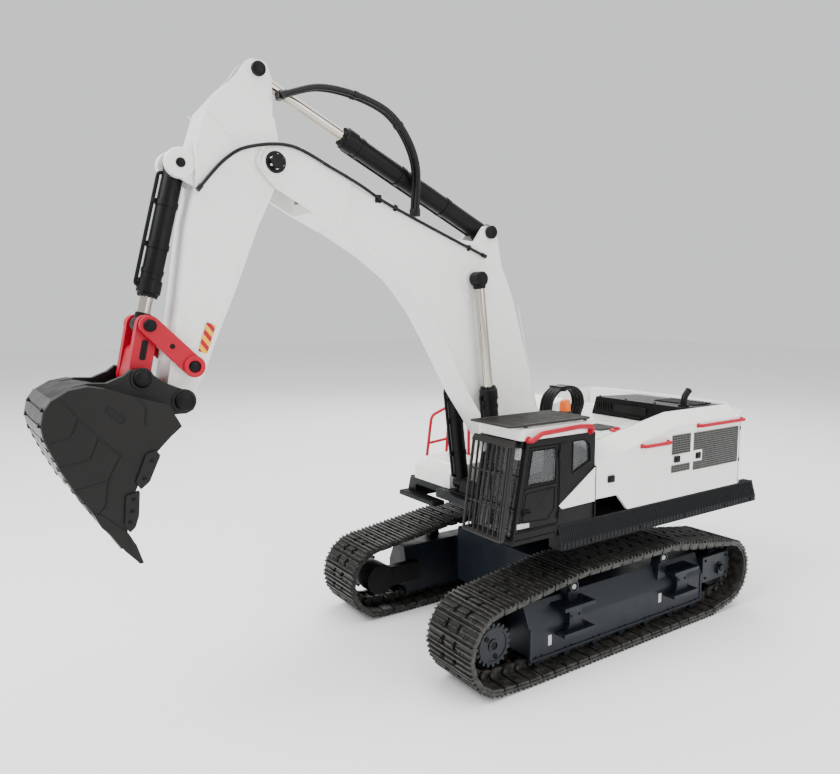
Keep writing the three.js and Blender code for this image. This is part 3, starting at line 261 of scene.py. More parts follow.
class Mold:
    """Collects closed shapes in machine millimetres and turns them into one piece."""

    def __init__(self):
        self.bm = bmesh.new()
        self.place = Matrix.Identity(4)

    def solid(self, verts, faces):
        made = [self.bm.verts.new(self.place @ Vector(v)) for v in verts]
        for f in faces:
            self.bm.faces.new([made[i] for i in f])

    def prism(self, axis, corners, span, steps=5):
        """An outline extruded along an axis: (y, z) for x, (x, z) for y, (x, y) for z."""
        pts = arc_corners(corners, steps)
        n = len(pts)
        verts = [turned(axis, t, a, b) for t in (span[0], span[1]) for a, b in pts]
        faces = [list(range(n))[::-1], list(range(n, 2 * n))]
        faces += [[i, (i + 1) % n, n + (i + 1) % n, n + i] for i in range(n)]
        self.solid(verts, faces)

    def box(self, xs, ys, zs):
        self.prism("z", rounded(xs, ys), zs)

    def lathe(self, axis, centre, profile, sides, hollow=False):
        """profile is (distance along the axis, radius). A hollow one closes on itself and has no ends."""
        cx, cy, cz = centre
        rows = len(profile)
        verts, faces = [], []
        for t, r in profile:
            for i in range(sides):
                angle = 2 * math.pi * i / sides
                x, y, z = turned(axis, t, r * math.cos(angle), r * math.sin(angle))
                verts.append((cx + x, cy + y, cz + z))
        for k in range(rows if hollow else rows - 1):
            near, far = k * sides, (k + 1) % rows * sides
            for i in range(sides):
                j = (i + 1) % sides
                faces.append([near + i, near + j, far + j, far + i])
        if not hollow:
            faces += [list(range(sides))[::-1], [(rows - 1) * sides + i for i in range(sides)]]
        self.solid(verts, faces)

    def rod(self, axis, centre, r, span, sides, chamfer=0.4):
        c = min(chamfer, r * 0.4, abs(span[1] - span[0]) * 0.4)
        profile = [(span[0], r - c), (span[0] + c, r), (span[1] - c, r), (span[1], r - c)]
        self.lathe(axis, centre, profile, sides)

    def dome(self, axis, centre, r, span, rise, sides=28):
        """A pin cap: a short cylinder with a rounded outer face. span[1] is the outer end."""
        way = 1 if span[1] > span[0] else -1
        top = span[1] - way * rise
        turns = [math.pi / 2 * k / 6 for k in range(6)]
        curve = [(top + way * rise * math.sin(a), r * math.cos(a)) for a in turns]
        self.lathe(axis, centre, [(span[0], r)] + curve + [(span[1], r * 0.05)], sides)

    def ring(self, axis, centre, r_in, r_out, span, sides):
        profile = [(span[0], r_in), (span[0], r_out), (span[1], r_out), (span[1], r_in)]
        self.lathe(axis, centre, profile, sides, hollow=True)

    def hex(self, axis, centre, r, span):
        """A bolt head. span[1] is the outer end."""
        way = 1 if span[1] > span[0] else -1
        self.lathe(axis, centre, [(span[0], r), (span[1] - 0.3 * way, r), (span[1], r * 0.86)], 6)

    def tube(self, points, r, sides):
        """A round bar along a path, with flat ends."""
        pts = [Vector(p) for p in points]
        tangents = [(b - a).normalized() for a, b in zip(pts[:1] + pts[:-1], pts[1:] + pts[-1:])]
        up = Vector((1, 0, 0)) if abs(tangents[0].x) < 0.9 else Vector((0, 0, 1))
        side = tangents[0].cross(up).normalized()
        verts, faces = [], []
        for here, tangent in zip(pts, tangents):
            side = (side - tangent * side.dot(tangent)).normalized()
            over = tangent.cross(side)
            for k in range(sides):
                angle = 2 * math.pi * k / sides
                verts.append(here + side * (r * math.cos(angle)) + over * (r * math.sin(angle)))
        last = (len(pts) - 1) * sides
        for a in range(0, last, sides):
            b = a + sides
            faces += [[a + k, a + (k + 1) % sides, b + (k + 1) % sides, b + k] for k in range(sides)]
        faces += [list(range(sides))[::-1], [last + k for k in range(sides)]]
        self.solid(verts, faces)

    def piece(self, name, material, body, bevel, slot, replaces=()):
        self.bm.transform(TO_ROW)
        bmesh.ops.recalc_face_normals(self.bm, faces=self.bm.faces)
        mesh = bpy.data.meshes.new(name)
        self.bm.to_mesh(mesh)
        self.bm.free()
        mesh.materials.append(material)
        obj = bpy.data.objects.new(name, mesh)
        bpy.context.scene.collection.objects.link(obj)
        soften(obj, bevel)
        if body:
            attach(obj, body)
        if replaces:
            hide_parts(*replaces)
        return obj


def soften(obj, bevel, segments=2):
    """Smooth shading with crisp flats, and a small round on every edge sharper than SHARP."""
    for polygon in obj.data.polygons:
        polygon.use_smooth = True
    if bevel:
        cut = obj.modifiers.new("bevel", "BEVEL")
        cut.width = bevel * MM
        cut.segments = segments
        cut.limit_method = "ANGLE"
        cut.angle_limit = SHARP
        cut.use_clamp_overlap = True
        cut.miter_outer = "MITER_ARC"
    else:
        obj.data.set_sharp_from_angle(angle=SHARP)
    even = obj.modifiers.new("flat", "WEIGHTED_NORMAL")
    even.keep_sharp = True


def keep(node, material, bevel, segments=2):
    """A CAD node that already has the right shape: its own material and softened edges."""
    obj = NODES[node]
    obj.data.materials.clear()
    obj.data.materials.append(material)
    weld = obj.modifiers.new("weld", "WELD")
    weld.merge_threshold = 0.00001
    soften(obj, bevel, segments)


SIDES = (("left", 1), ("right", -1))

# ------------------------------------------------------------------ tracks
SHOE_COUNT = 59
BELT = [(-150, 25, 25), (150, 25, 25), (185, 49, 42), (80, 82, 25), (-75, 82, 25), (-185, 47, 45)]
TRACK_X = 113.5
SHOE_HALF = 35.5
LINK_PIN_DEPTH = 12.6
DRIVE_AT = (-185, 47)
DRIVE_TEETH = 20
IDLER_AT = (185, 52)
CARRIER_ROLLERS = ((-76, 84), (74, 86))


def belt_path(arc_step):
    """The tight belt round BELT as (y, z, normal angle), unwrapped."""
    def normal_to(a, b):
        d = math.hypot(b[0] - a[0], b[1] - a[1])
        return math.atan2(b[1] - a[1], b[0] - a[0]) - math.acos((a[2] - b[2]) / d)

    path = []
    start = normal_to(BELT[-1], BELT[0])
    for i, circle in enumerate(BELT):
        end = normal_to(circle, BELT[(i + 1) % len(BELT)])
        while end < start:
            end += 2 * math.pi
        steps = max(1, math.ceil((end - start) / arc_step))
        for k in range(steps + 1):
            angle = start + (end - start) * k / steps
            y, z = circle[0] + circle[2] * math.cos(angle), circle[1] + circle[2] * math.sin(angle)
            path.append((y, z, angle))
        start = end
    return path


def belt_stations(shares):
    """Places at the given shares of the way round the belt, and the belt's length."""
    path = belt_path(math.pi / 60)
    path.append((path[0][0], path[0][1], path[0][2] + 2 * math.pi))
    lengths = [0.0]
    for a, b in zip(path, path[1:]):
        lengths.append(lengths[-1] + math.hypot(b[0] - a[0], b[1] - a[1]))
    out = []
    for share in shares:
        target = (share % 1.0) * lengths[-1]
        i = 1
        while i < len(lengths) - 1 and lengths[i] < target:
            i += 1
        t = (target - lengths[i - 1]) / (lengths[i] - lengths[i - 1])
        out.append(tuple(path[i - 1][k] + t * (path[i][k] - path[i - 1][k]) for k in range(3)))
    return out, lengths[-1]


def shoe_profile(half):
    """Section of one triple-grouser shoe: (along the track, outward), tip line at 0."""
    top, base = -2.4, -5.2
    pts = [(-half, base), (-half, top + 0.4)]
    for centre in (-half + 1.7, 0.2, half - 2.2):
        pts += [(centre - 1.3, top), (centre - 0.7, -0.15), (centre + 0.7, -0.15), (centre + 1.3, top)]
    pts += [(half - 0.2, top - 0.2), (half, base)]
    return pts


def track(side, way):
    stations, total = belt_stations([(i + 0.5) / SHOE_COUNT for i in range(SHOE_COUNT)])
    joints, _ = belt_stations([i / SHOE_COUNT for i in range(SHOE_COUNT)])
    half = total / SHOE_COUNT * 0.47
    profile = shoe_profile(half)
    shoes, links = Mold(), Mold()
    for i, (y, z, angle) in enumerate(stations):
        # local: x across the track, y along it, z outward
        out = Vector((0, math.cos(angle), math.sin(angle)))
        along = Vector((0, -math.sin(angle), math.cos(angle)))
        basis = Matrix((Vector((1, 0, 0)), along, out)).transposed().to_4x4()
        basis.translation = (way * TRACK_X, y, z)
        shoes.place = basis
        for a, b in ((-SHOE_HALF, -12.5), (-6.5, 6.5), (12.5, SHOE_HALF)):
            shoes.prism("x", profile, (a, b))
        for a, b in ((-12.5, -6.5), (6.5, 12.5)):
            shoes.prism("x", profile[:6] + [(-half + 3.6, -5.2)], (a, b))
            shoes.prism("x", [(half - 4, -5.2)] + profile[-5:], (a, b))
        shoes.box((1 - SHOE_HALF, SHOE_HALF - 1), (-half + 0.6, half - 0.6), (-8, -5))
        links.place = basis
        link = [(-half - 1, -7.5), (-half - 1, -13), (-half + 2, -17.6, 2), (half - 1.5, -17.6, 2),
                (half + 1, -12), (half + 1, -7.5)]
        for a in (-12.5, 8.5):
            links.prism("x", link, (a, a + 4), 3)
            links.rod("x", (0, -3.4, -LINK_PIN_DEPTH), 1.7, (a - 0.7, a + 4.7), 10, 0.3)
            links.rod("x", (0, 3.4, -LINK_PIN_DEPTH), 1.1, (a - 0.5, a + 4.5), 8, 0.2)
        for a in (-22, -17.5, 17.5, 22):
            shoes.hex("z", (a, 0, 0), 1.5, (-8.6, -8))
            shoes.hex("z", (a, 3.2, 0), 1.2, (-2.5, -1.6))
    links.place = Matrix.Identity(4)
    for y, z, angle in joints:
        cy, cz = y - LINK_PIN_DEPTH * math.cos(angle), z - LINK_PIN_DEPTH * math.sin(angle)
        links.rod("x", (way * TRACK_X, cy, cz), 2.6, (-16.5, 16.5), 12, 0.5)
    shoes.piece(f"{side}_track_shoes", SHOE, "undercarriage", 0.0, "track_shoe", [f"{side}_track_chain"])
    links.piece(f"{side}_track_links", SHOE, "undercarriage", 0.0, "track_shoe")


def round_toothed(teeth, r_root, r_tip, steps=5):
    """A sprocket outline with round-ended teeth."""
    pts = []
    width = math.pi * r_tip / teeth * 0.5
    for i in range(teeth):
        a = 2 * math.pi * i / teeth
        out = Vector((math.cos(a), math.sin(a)))
        over = Vector((-out.y, out.x))
        pts.append(tuple(out * r_root - over * width))
        for k in range(steps + 1):
            t = math.pi * (k / steps - 0.5)
            pts.append(tuple(out * (r_tip - width + width * math.cos(t)) + over * (width * math.sin(t))))
        pts.append(tuple(out * r_root + over * width))
    return pts


def drive(side, way):
    y, z = DRIVE_AT
    wheel = Mold()
    outline = [(y + a, z + b) for a, b in round_toothed(DRIVE_TEETH, 19, 22.6)]
    wheel.prism("x", outline, reach(way, 126.5, 130.6))
    wheel.rod("x", (0, y, z), 18, reach(way, 106, 127), 40)
    wheel.ring("x", (0, y, z), 16.2, 18.4, reach(way, 129, 131.4), 40)
    wheel.ring("x", (0, y, z), 4.2, 6.5, reach(way, 129, 131.8), 28)
    for k in range(DRIVE_TEETH):
        a = 2 * math.pi * (k + 0.5) / DRIVE_TEETH
        cy, cz = y + 18.8 * math.cos(a), z + 18.8 * math.sin(a)
        wheel.rod("x", (0, cy, cz), 0.9, reach(way, 129, 131.3), 8, 0.2)
    wheel.piece(f"{side}_drive_wheel", DRIVE, f"{side}_sprocket", 0.35, "drive_metal", [f"{side}_sprocket"])
    screws = Mold()
    for a in (2.4, 4.9):
        cy, cz = y + 12 * math.cos(a), z + 12 * math.sin(a)
        screws.ring("x", (0, cy, cz), 1.5, 2.7, reach(way, 130, 131.5), 16)
        screws.hex("x", (0, cy, cz), 1.4, (way * 130, way * 131.3))
    screws.rod("x", (0, y, z), 3.6, reach(way, 128, 130.8), 20)
    screws.piece(f"{side}_drive_screws", BLACK, f"{side}_sprocket", 0.15, "drive_metal")


def side_frame(side, way):
    keep(f"{side}_track_frame", FRAME, 0.7)
    keep(f"{side}_idler_yoke", FRAME, 0.6)
    keep(f"{side}_idler", DRIVE, 0.8)
    keep(f"{side}_travel_motor", BLACK, 0.6)
    extra = Mold()
    extra.box(reach(way, 133.5, 135.4), (-139, 149), (16.2, 19.4))
    extra.prism("x", [(-139.5, 18), (-136.5, 18), (-136.5, 51), (-139.5, 52)], reach(way, 133.8, 135))
    extra.prism("x", [(146.5, 18), (149.5, 18), (149.5, 52), (146.5, 51)], reach(way, 133.8, 135))
    for cy, cz in CARRIER_ROLLERS:
        extra.ring("x", (0, cy, cz), 4.6, 6.8, reach(way, 129.5, 134.5), 24)
        extra.rod("x", (0, cy, cz), 4.8, reach(way, 129.5, 133.2), 20)
        extra.prism("x", [(cy - 8, 60), (cy + 8, 60), (cy + 6, 80), (cy - 6, 80)], reach(way, 130, 132))
    for k in range(7):
        cy = -126 + k * 43.5
        extra.rod("x", (0, cy, 13.5), 5.2, reach(way, 129.6, 132.6), 20, 0.6)
        for off in (-4.5, 4.5):
            extra.hex("x", (0, cy + off, 19.5), 1.3, (way * 133, way * 136))
    for middle in (-80, 101):
        for k in range(9):
            cy = middle - 21.5 + k * 5
            for z_span in ((69.8, 70.8), (41.8, 42.6)):
                extra.box(reach(way, 136, 148), (cy, cy + 1.2), z_span)
        for off in (-6, 6):
            extra.hex("x", (0, middle + off, 56), 1.5, (way * 139, way * 142.2))
    extra.piece(f"{side}_frame_fittings", FRAME, "undercarriage", 0.3, "frame_grey")
    screws = Mold()
    for cy, cz in CARRIER_ROLLERS:
        screws.rod("x", (0, cy, cz), 3.4, reach(way, 132.6, 134.2), 18)
    screws.piece(f"{side}_roller_screws", STEEL, "undercarriage", 0.2, "drive_metal")
    plates = Mold()
    for cy, cz in ((-111, 34), (69, 38)):
        plates.box(reach(way, 133.9, 134.5), (cy - 2.4, cy + 2.4), (cz - 5.5, cz + 5.5))
    plates.piece(f"{side}_blank_plates", LABEL, "undercarriage", 0.1, "white_shell")
    hub = Mold()
    hub.rod("x", (0, *IDLER_AT), 7, reach(way, 134, 135.8), 24)
    hub.hex("x", (0, *IDLER_AT), 4.6, (way * 135, way * 139.4))
    for cy, cz in ((157, 43), (157, 65), (199, 43), (199, 65)):
        hub.hex("x", (0, cy, cz), 1.6, (way * 134, way * 136))
    hub.piece(f"{side}_yoke_bolts", BLACK, "undercarriage", 0.3, "frame_grey")


for side, way in SIDES:
    track(side, way)
    drive(side, way)
    side_frame(side, way)
keep("car_body", FRAME, 1.2)
keep("slew_ring", DRIVE, 0.3)
keep("slew_pinion", DRIVE, 0.3)

# ------------------------------------------------------------------ house
BODY_X = 137
LOW_ROOF_Z = 233.9
BEACON_AT = (73, -33)
REAR_LAMP_X = (-96, 96)
keep("deck", WALKWAY, 0.8)
keep("boom_bracket", BLACK, 0.7)
keep("left_body_shell", WHITE, 1.6, 3)
keep("right_body_shell", WHITE, 1.6, 3)
keep("counterweight", WHITE, 2.0, 3)
keep("centre_cover", WHITE, 1.0)
keep("right_front_box", WHITE, 1.2, 3)
keep("engine_hood", BLACK, 1.5, 3)
keep("slew_motor", MOTOR, 0.8)
keep("battery_pack", WRAP, 2.0, 3)
keep("control_board", BOARD, 0.4)


def walkway_ribs():
    ribs = Mold()
    for way in (1, -1):
        for k in range(115):
            y = -102 + k * 3.02
            a, b = (way * 142.35, 138.6), (way * 136.9, 156.2)
            c, d = (way * 141.6, 138.2), (way * 136.2, 155.9)
            ribs.prism("y", [c, a, b, d], (y, y + 1.3))
        for k in range(58):
            y = -102 + k * 6.0
            ribs.box(reach(way, 142, 142.5), (y, y + 2.6), (131.5, 137.8))
            ribs.box(reach(way, 128.5, 136), (y, y + 2.0), (155.9, 156.7))
    for k in range(10):
        ribs.box((-140.5 + k * 7.7, -136.5 + k * 7.7), (-119, -103.5), (137.9, 138.8))
    for k in range(20):
        ribs.box((-58 + k * 6, -54.5 + k * 6), (-120, -100), (155.9, 156.6))
    ribs.piece("walkway_ribs", WALKWAY, "house", 0.0, "dark_steps")
    edge = Mold()
    for way in (1, -1):
        edge.tube([(way * 136.6, -104, 156.2), (way * 136.6, 246, 156.2)], 0.9, 8)
        edge.tube([(way * 142, -104.5, 131.6), (way * 142, 246, 131.6)], 0.8, 8)
        for y in (-60, 20, 100, 180, 236):
            edge.hex("x", (0, y, 134.8), 1.7, (way * 141.5, way * 143.6))
    edge.piece("walkway_edges", WALKWAY, "house", 0.0, "dark_steps")


def mesh_panel(mold, side_x, y_span, z_span, way, pitch=2.6):
    """A woven-looking grille: bars both ways over a dark backing."""
    y0, y1 = y_span
    z0, z1 = z_span
    count = int((y1 - y0) / pitch)
    for k in range(count + 1):
        y = y0 + (y1 - y0) * k / count
        mold.box(sorted((side_x, side_x + way * 0.7)), (y - 0.45, y + 0.45), (z0, z1))
    count = int((z1 - z0) / pitch)
    for k in range(count + 1):
        z = z0 + (z1 - z0) * k / count
        mold.box(sorted((side_x + way * 0.2, side_x + way * 0.95)), (y0, y1), (z - 0.45, z + 0.45))


def shell_dressing():
    grille, backing, frames, seams = Mold(), Mold(), Mold(), Mold()
    patches = (((77.5, 111), (210, 232)), ((77.5, 111), (188.6, 196.4)), ((118.6, 208), (187, 231.4)))
    for way in (1, -1):
        x = way * BODY_X
        for y_span, z_span in patches:
            mesh_panel(grille, x + way * 0.1, y_span, z_span, way)
            backing.box(sorted((x - way * 0.5, x + way * 0.15)), y_span, z_span)
        frames.prism("x", rounded((118, 134), (197, 210.5), 1), sorted((x - way * 0.3, x + way * 1.15)), 3)
        seams.box(sorted((x - way * 0.3, x + way * 0.12)), (212.25, 212.95), (157.5, 241))
        for z in (186, 226):
            seams.box(sorted((x - way * 0.3, x + way * 1.0)), (212, 213.4), (z, z + 5))
    seams.box((136.6, 138.5), (-52.7, -51.5), (157, 213))
    grille.piece("vent_grilles", MESH, "house", 0.0, "drive_metal")
    backing.piece("vent_backings", BLACK, "house", 0.0, "black_plastic")
    frames.piece("vent_latch_plates", WHITE, "house", 0.2, "white_shell")
    seams.piece("shell_seams", SOFT_BLACK, "house", 0.0, "black_plastic")
    latches = Mold()
    for way in (1, -1):
        for y, z in ((-27, 195.6), (86.4, 203.7), (126, 203.7)):
            x = way * (BODY_X + 0.1)
            if way > 0 or y > 0:
                plate = rounded((y - 5, y + 5), (z - 3.8, z + 3.8), 1)
                latches.prism("x", plate, sorted((x, x + way * 1.8)), 3)
                latches.box(sorted((x + way * 1.4, x + way * 2.6)), (y - 2.8, y + 2.8), (z - 1.2, z + 1.2))
    latches.piece("shell_latches", BLACK, "house", 0.3, "black_plastic")
    back = Mold()
    for k in range(9):
        z = 170 + k * 5
        back.prism("y", rounded((-40, 40), (z, z + 2.4)), (238.6, 240.4))
    for x in REAR_LAMP_X:
        back.prism("y", rounded((x - 13, x + 13), (170, 184), 3), (231.5, 236.4))
    back.piece("rear_louvres", BLACK, "house", 0.4, "black_plastic")
    lamps = Mold()
    for x in REAR_LAMP_X:
        for a in (-6, 6):
            lamps.dome("y", (x + a, 0, 177), 4.6, (235, 238), 1.4, 20)
    lamps.piece("rear_lamps", RED, "house", 0.0, "red_trim")
    top = Mold()
    for k in range(11):
        top.box((38.6 + 3.2 * k, 40.8 + 3.2 * k), (26, 60), (234.4, 235.4))
    top.prism("z", rounded((36, 75), (24, 62), 3), (LOW_ROOF_Z, 234.8))
    top.piece("roof_step_pad", SOFT_BLACK, "house", 0.15, "black_plastic")
    red = Mold()
    red.lathe("z", (86, 40, 0), [(LOW_ROOF_Z, 8), (235.2, 8), (236.6, 6.6), (236.9, 5)], 36)
    red.lathe("z", (86, 40, 0), [(236.8, 3.4), (238.6, 3.2), (239, 2.6)], 24)
    red.rod("z", (91, 58.5, 0), 4.4, (LOW_ROOF_Z, 237.6), 28, 0.8)
    red.piece("filler_caps", RED, "house", 0.3, "red_trim")


def hood_dressing():
    extra = Mold()
    for k in range(12):
        x = 44 + k * 5.2
        extra.prism("z", rounded((x, x + 2.4), (162, 200), 0.8), (256.4, 258.2), 2)
    for x in (-24, 20, 66, 109):
        extra.hex("z", (x, 135, 0), 1.8, (257.4, 259.2))
    extra.prism("y", rounded((8, 60), (241, 251), 2), (125.8, 127.6))
    for k in range(7):
        extra.box((-24 + k * 4, -22.4 + k * 4), (125.6, 127.2), (239, 252))
    extra.box((34, 54), (122.6, 125.8), (236, 238.5))
    extra.piece("hood_fittings", SOFT_BLACK, "hood", 0.3, "black_plastic")
    pipe = Mold()
    path = bent([(104, 142, 257.8), (104, 142, 269), (104, 151, 277)], 6)
    pipe.tube(path, 4.0, 20)
    pipe.ring("z", (104, 142, 0), 3.9, 6.6, (257.8, 260.2), 24)
    end = path[-1]
    pipe.tube([end - Vector((0, 0.9, 0.8)), end + Vector((0, 0.5, 0.45))], 4.3, 20)
    pipe.piece("exhaust_stack", BLACK, "hood", 0.3, "black_plastic", ["exhaust_pipe"])


def rails():
    def rail(name, points, node, r, bend):
        bars = Mold()
        bars.tube(bent(points, bend), r, 14)
        for end, way in ends([Vector(p) for p in points]):
            bars.tube([end, end + way * 1.2], r * 1.35, 14)
        bars.piece(name, RED, "house", 0.25, "red_trim", [node])

    x = BODY_X + 0.3
    rail("grab_rail_left_front", [(x, 23, 226), (x + 5.5, 23, 226), (x + 5.5, 69, 226), (x, 69, 226)],
         "rail_left_front", 2.1, 4)
    rail("grab_rail_left_rear", [(x, 125, 240), (x + 5.5, 125, 240), (x + 5.5, 214, 240), (x, 213.5, 240)],
         "rail_left_rear", 2.1, 4)
    over_door = [(137.6, -150, 251.6), (142.6, -150, 250.4), (142.6, -136, 256.8), (142.4, -82, 259),
                 (142.2, -64, 257.4), (142, -62.6, 252), (137.6, -62.6, 251.8)]
    rail("grab_rail_cab", over_door, "rail_cab_roof", 2.5, 2.2)
    rail("guard_rail_right", [(-88, -45, 186.3), (-88, -45, 250), (-88, 2, 252), (-88, 2, 243)],
         "rail_right_inner", 2.0, 6)
    ladder = Mold()
    lx = -133
    ladder.tube(bent([(lx, -84, 156.5), (lx, -73, 235), (lx, -43, 246), (lx, -50, 156.5)], 7), 2.0, 14)
    ladder.tube([(lx, -78, 198), (lx, -48, 201)], 1.9, 12)
    for y in (-84, -50):
        ladder.rod("z", (lx, y, 0), 4, (156.4, 158.6), 20)
    ladder.piece("ladder_frame_right", RED, "house", 0.25, "red_trim", ["rail_right_ladder"])


def beacon_and_hoses():
    lens = Mold()
    lens.lathe("z", (*BEACON_AT, 0), [(262.8, 6.3), (264, 6.5), (272, 6.1), (275.5, 4.6), (277, 1.4)], 32)
    lens.piece("beacon_lens", AMBER, "house", 0.2, "amber_lens", ["beacon"])
    post = Mold()
    post.rod("z", (*BEACON_AT, 0), 3, (236.3, 262), 20)
    post.rod("z", (*BEACON_AT, 0), 7.4, (259.6, 262.5), 32)
    post.ring("z", (*BEACON_AT, 0), 2.9, 5.2, (236.4, 239), 24)
    post.piece("beacon_stand", BLACK, "house", 0.3, "black_plastic", ["beacon_post"])
    arch = Mold()
    path = [(12, 217), (9, 232), (8, 252), (13, 268), (28, 278), (48, 278), (61, 270), (65, 257), (61, 246),
            (58, 237)]
    for k in range(4):
        x = -7.8 + 5.2 * k
        arch.tube(spline([(x, y, z) for y, z in path], 6), 2.6, 14)
    for y, z in ((9, 231), (28.5, 278), (57.6, 236.6)):
        arch.prism("x", rounded((y - 4.4, y + 4.4), (z - 3.2, z + 3.2), 1.5), (-11, 11), 3)
    arch.piece("hose_bundle", HOSE, "house", 0.0, "hose_rubber", ["hose_arch"])


walkway_ribs()
shell_dressing()
hood_dressing()
rails()
beacon_and_hoses()

# ------------------------------------------------------------------ cab
CAB_SLOPE = 18 / 104
keep("cab_shell", BLACK, 1.0)
keep("cab_door", BLACK, 0.7)
keep("cab_roof", WHITE, 2.2, 3)
keep("cab_corner_panel", WHITE, 0.4)
keep("door_window", GLASS, 0.15)
keep("windshield", GLASS, 0.15)


def cab_front(z, depth=0.0):
    """How far forward the sloping front of the cab is at a height."""
    return -168 + depth + CAB_SLOPE * (z - 146)


def guards():
    front = Mold()
    lean = 14 / 99

    def at(x, z, off=0.0):
        return (x, -175.6 + lean * (z - 149) + off, z)

    rim = [at(68.8, 150), at(68.8, 246.5), at(131.2, 246.5), at(131.2, 150)]
    front.tube(bent(rim + rim[:1], 3.5), 1.7, 12)
    for k in range(1, 8):
        x = 68.8 + 62.4 * k / 8
        front.tube([at(x, 150.5), at(x, 246)], 0.95, 8)
    for z in (151.5, 181, 214, 245):
        front.tube([at(69.5, z, 0.8), at(130.5, z, 0.8)], 1.15, 8)
    front.tube([at(127.5, 150.5), at(127.5, 246)], 1.6, 10)
    for x, z in ((71.5, 152), (127, 152), (71.5, 244), (127, 244)):
        front.tube([at(x, z), (x, cab_front(z, -0.4), z)], 1.9, 10)
    front.prism("x", [(-165.5, 243.5), (-161.5, 249.6), (-159.2, 249.2), (-162.5, 242.5)], (68.5, 131.5))
    front.piece("front_guard_bars", GUARD, "house", 0.0, "black_plastic", ["front_guard"])
    lamps = Mold()
    for x in (69, 123.2):
        y = cab_front(236)
        lamps.prism("y", rounded((x, x + 7.5), (230, 242), 1.5), (y - 2.2, y + 1.2), 3)
        for z in (233.2, 238.8):
            lamps.dome("y", (x + 3.75, 0, z), 2.4, (y - 1.6, y - 3.4), 0.9, 20)
    lamps.piece("cab_front_lamps", LABEL, "house", 0.2, "white_shell")
    roof = Mold()
    rim = [(76, -171.8, 265.3), (135.4, -171.8, 265.3), (135.4, -60.2, 265.3), (76, -60.2, 265.3)]
    roof.tube(bent(rim + rim[:1], 3), 1.25, 10)
    for k in range(31):
        y = -169 + k * 3.6
        roof.box((76.5, 135), (y - 0.55, y + 0.55), (264.5, 266.1))
    for k in range(6):
        x = 84 + k * 8.8
        roof.box((x - 0.6, x + 0.6), (-171, -61), (264.2, 265.6))
    for x in (80, 131):
        for y in (-147, -63):
            roof.rod("z", (x, y, 0), 2.2, (262.2, 264.8), 16)
    roof.piece("roof_guard_grating", GUARD, "house", 0.0, "black_plastic", ["roof_guard"])


def cab_dressing():
    trim = Mold()
    recess = [(cab_front(168, 9), 168), (-120, 166), (-111, 176), (-111, 198), (cab_front(198, 9), 196)]
    trim.tube([(136.7, y, z) for y, z in recess + recess[:1]], 0.9, 8)
    trim.tube([(136.7, cab_front(201, 7), 201), (136.7, -107.5, 201.6)], 1.2, 8)
    seal = [(cab_front(204, 9), 204.6), (-110.6, 204.6), (-110.6, 239), (cab_front(239, 9), 239)]
    trim.tube([(136.8, y, z) for y, z in seal + seal[:1]], 0.8, 8)
    trim.prism("x", rounded((-155, -144), (174.5, 180.5), 1), (136.5, 138.2), 3)
    handle = [(138, -153, 177.5), (140, -153, 177.5), (140, -146, 177.5), (138, -146, 177.5)]
    trim.tube(bent(handle, 1.2), 0.8, 8)
    for z in (168, 232):
        trim.rod("z", (137.3, -105.6, 0), 1.3, (z - 4, z + 4), 12, 0.2)
    trim.piece("door_trim", BLACK, "cab_door", 0.2, "black_plastic")
    outer = Mold()
    window = [(-86, 209), (-59.5, 219.5), (-60, 234), (-62, 239), (-68, 243), (-86, 243), (-86, 209)]
    outer.tube([(136.9, y, z) for y, z in window], 0.7, 8)
    outer.box((136.4, 137.4), (-104.5, -90), (164, 243))
    for z in (150.5, 158):
        outer.box((136.5, 137.6), (cab_front(z, 3), -107), (z - 0.5, z + 0.5))
    outer.tube(bent([(70, -165, 158), (67.8, -166, 158), (67.8, -154, 240), (70, -153, 240)], 1.5), 0.9, 8)
    # wiper over the front pane
    outer.tube([(101, cab_front(160, 0.2), 160), (92, cab_front(205, -0.6), 205)], 0.8, 8)
    outer.tube([(97, cab_front(178, -0.6), 178), (87, cab_front(232, -0.6), 232)], 0.6, 6)
    for way in (1, -1):
        cx = 103 + way * 31.5
        outer.tube([(cx, -154, 249), (cx, -156, 244)], 1.2, 8)
    outer.piece("cab_trim", BLACK, "house", 0.2, "black_plastic")
    rear = Mold()
    pane = [(-85.6, 209.6), (-59.9, 219.9), (-60.4, 235.6, 3.6), (-68.2, 242.6, 3.6), (-85.6, 242.6)]
    rear.prism("x", pane, (134.2, 135.2))
    rear.piece("rear_side_pane", GLASS, "house", 0.1, "smoked_glass")
    right = Mold()
    right.box((71.3, 72.4), (-139.6, -64.4), (196.4, 239.6))
    right.piece("right_side_pane", GLASS, "house", 0.1, "smoked_glass")
    back = Mold()
    back.box((80.4, 126.3), (-54.9, -53.8), (206.4, 241.6))
    back.piece("rear_pane", GLASS, "house", 0.1, "smoked_glass")
    label = Mold()
    label.box((136.6, 137.3), (cab_front(165, 2.6), -146), (162.4, 167.6))
    label.piece("cab_blank_plate", LABEL, "cab_door", 0.1, "white_shell")
    inside = Mold()
    for x in (85, 121.5):
        inside.box((x - 3, x + 3), (-116, -86), (161, 184))
        inside.tube([(x, -108, 183), (x, -110, 193)], 1.0, 8)
        inside.dome("z", (x, -110.3, 0), 2.3, (192, 198), 2.4, 16)
    for x in (98, 108):
        inside.tube([(x, -140, 151), (x, -137, 172)], 1.0, 8)
        inside.dome("z", (x, -137, 0), 1.9, (171, 175.5), 1.8, 14)
        inside.box((x - 3, x + 3), (-146, -136), (150.5, 152))
    inside.prism("x", [(-155, 190, 1), (-150, 190, 1), (-148, 203, 1), (-153, 203, 1)], (76, 90), 3)
    inside.tube([(80, -150, 176), (80, -151, 191)], 1.2, 8)
    inside.piece("cab_controls", SOFT_BLACK, "house", 0.3, "black_plastic")


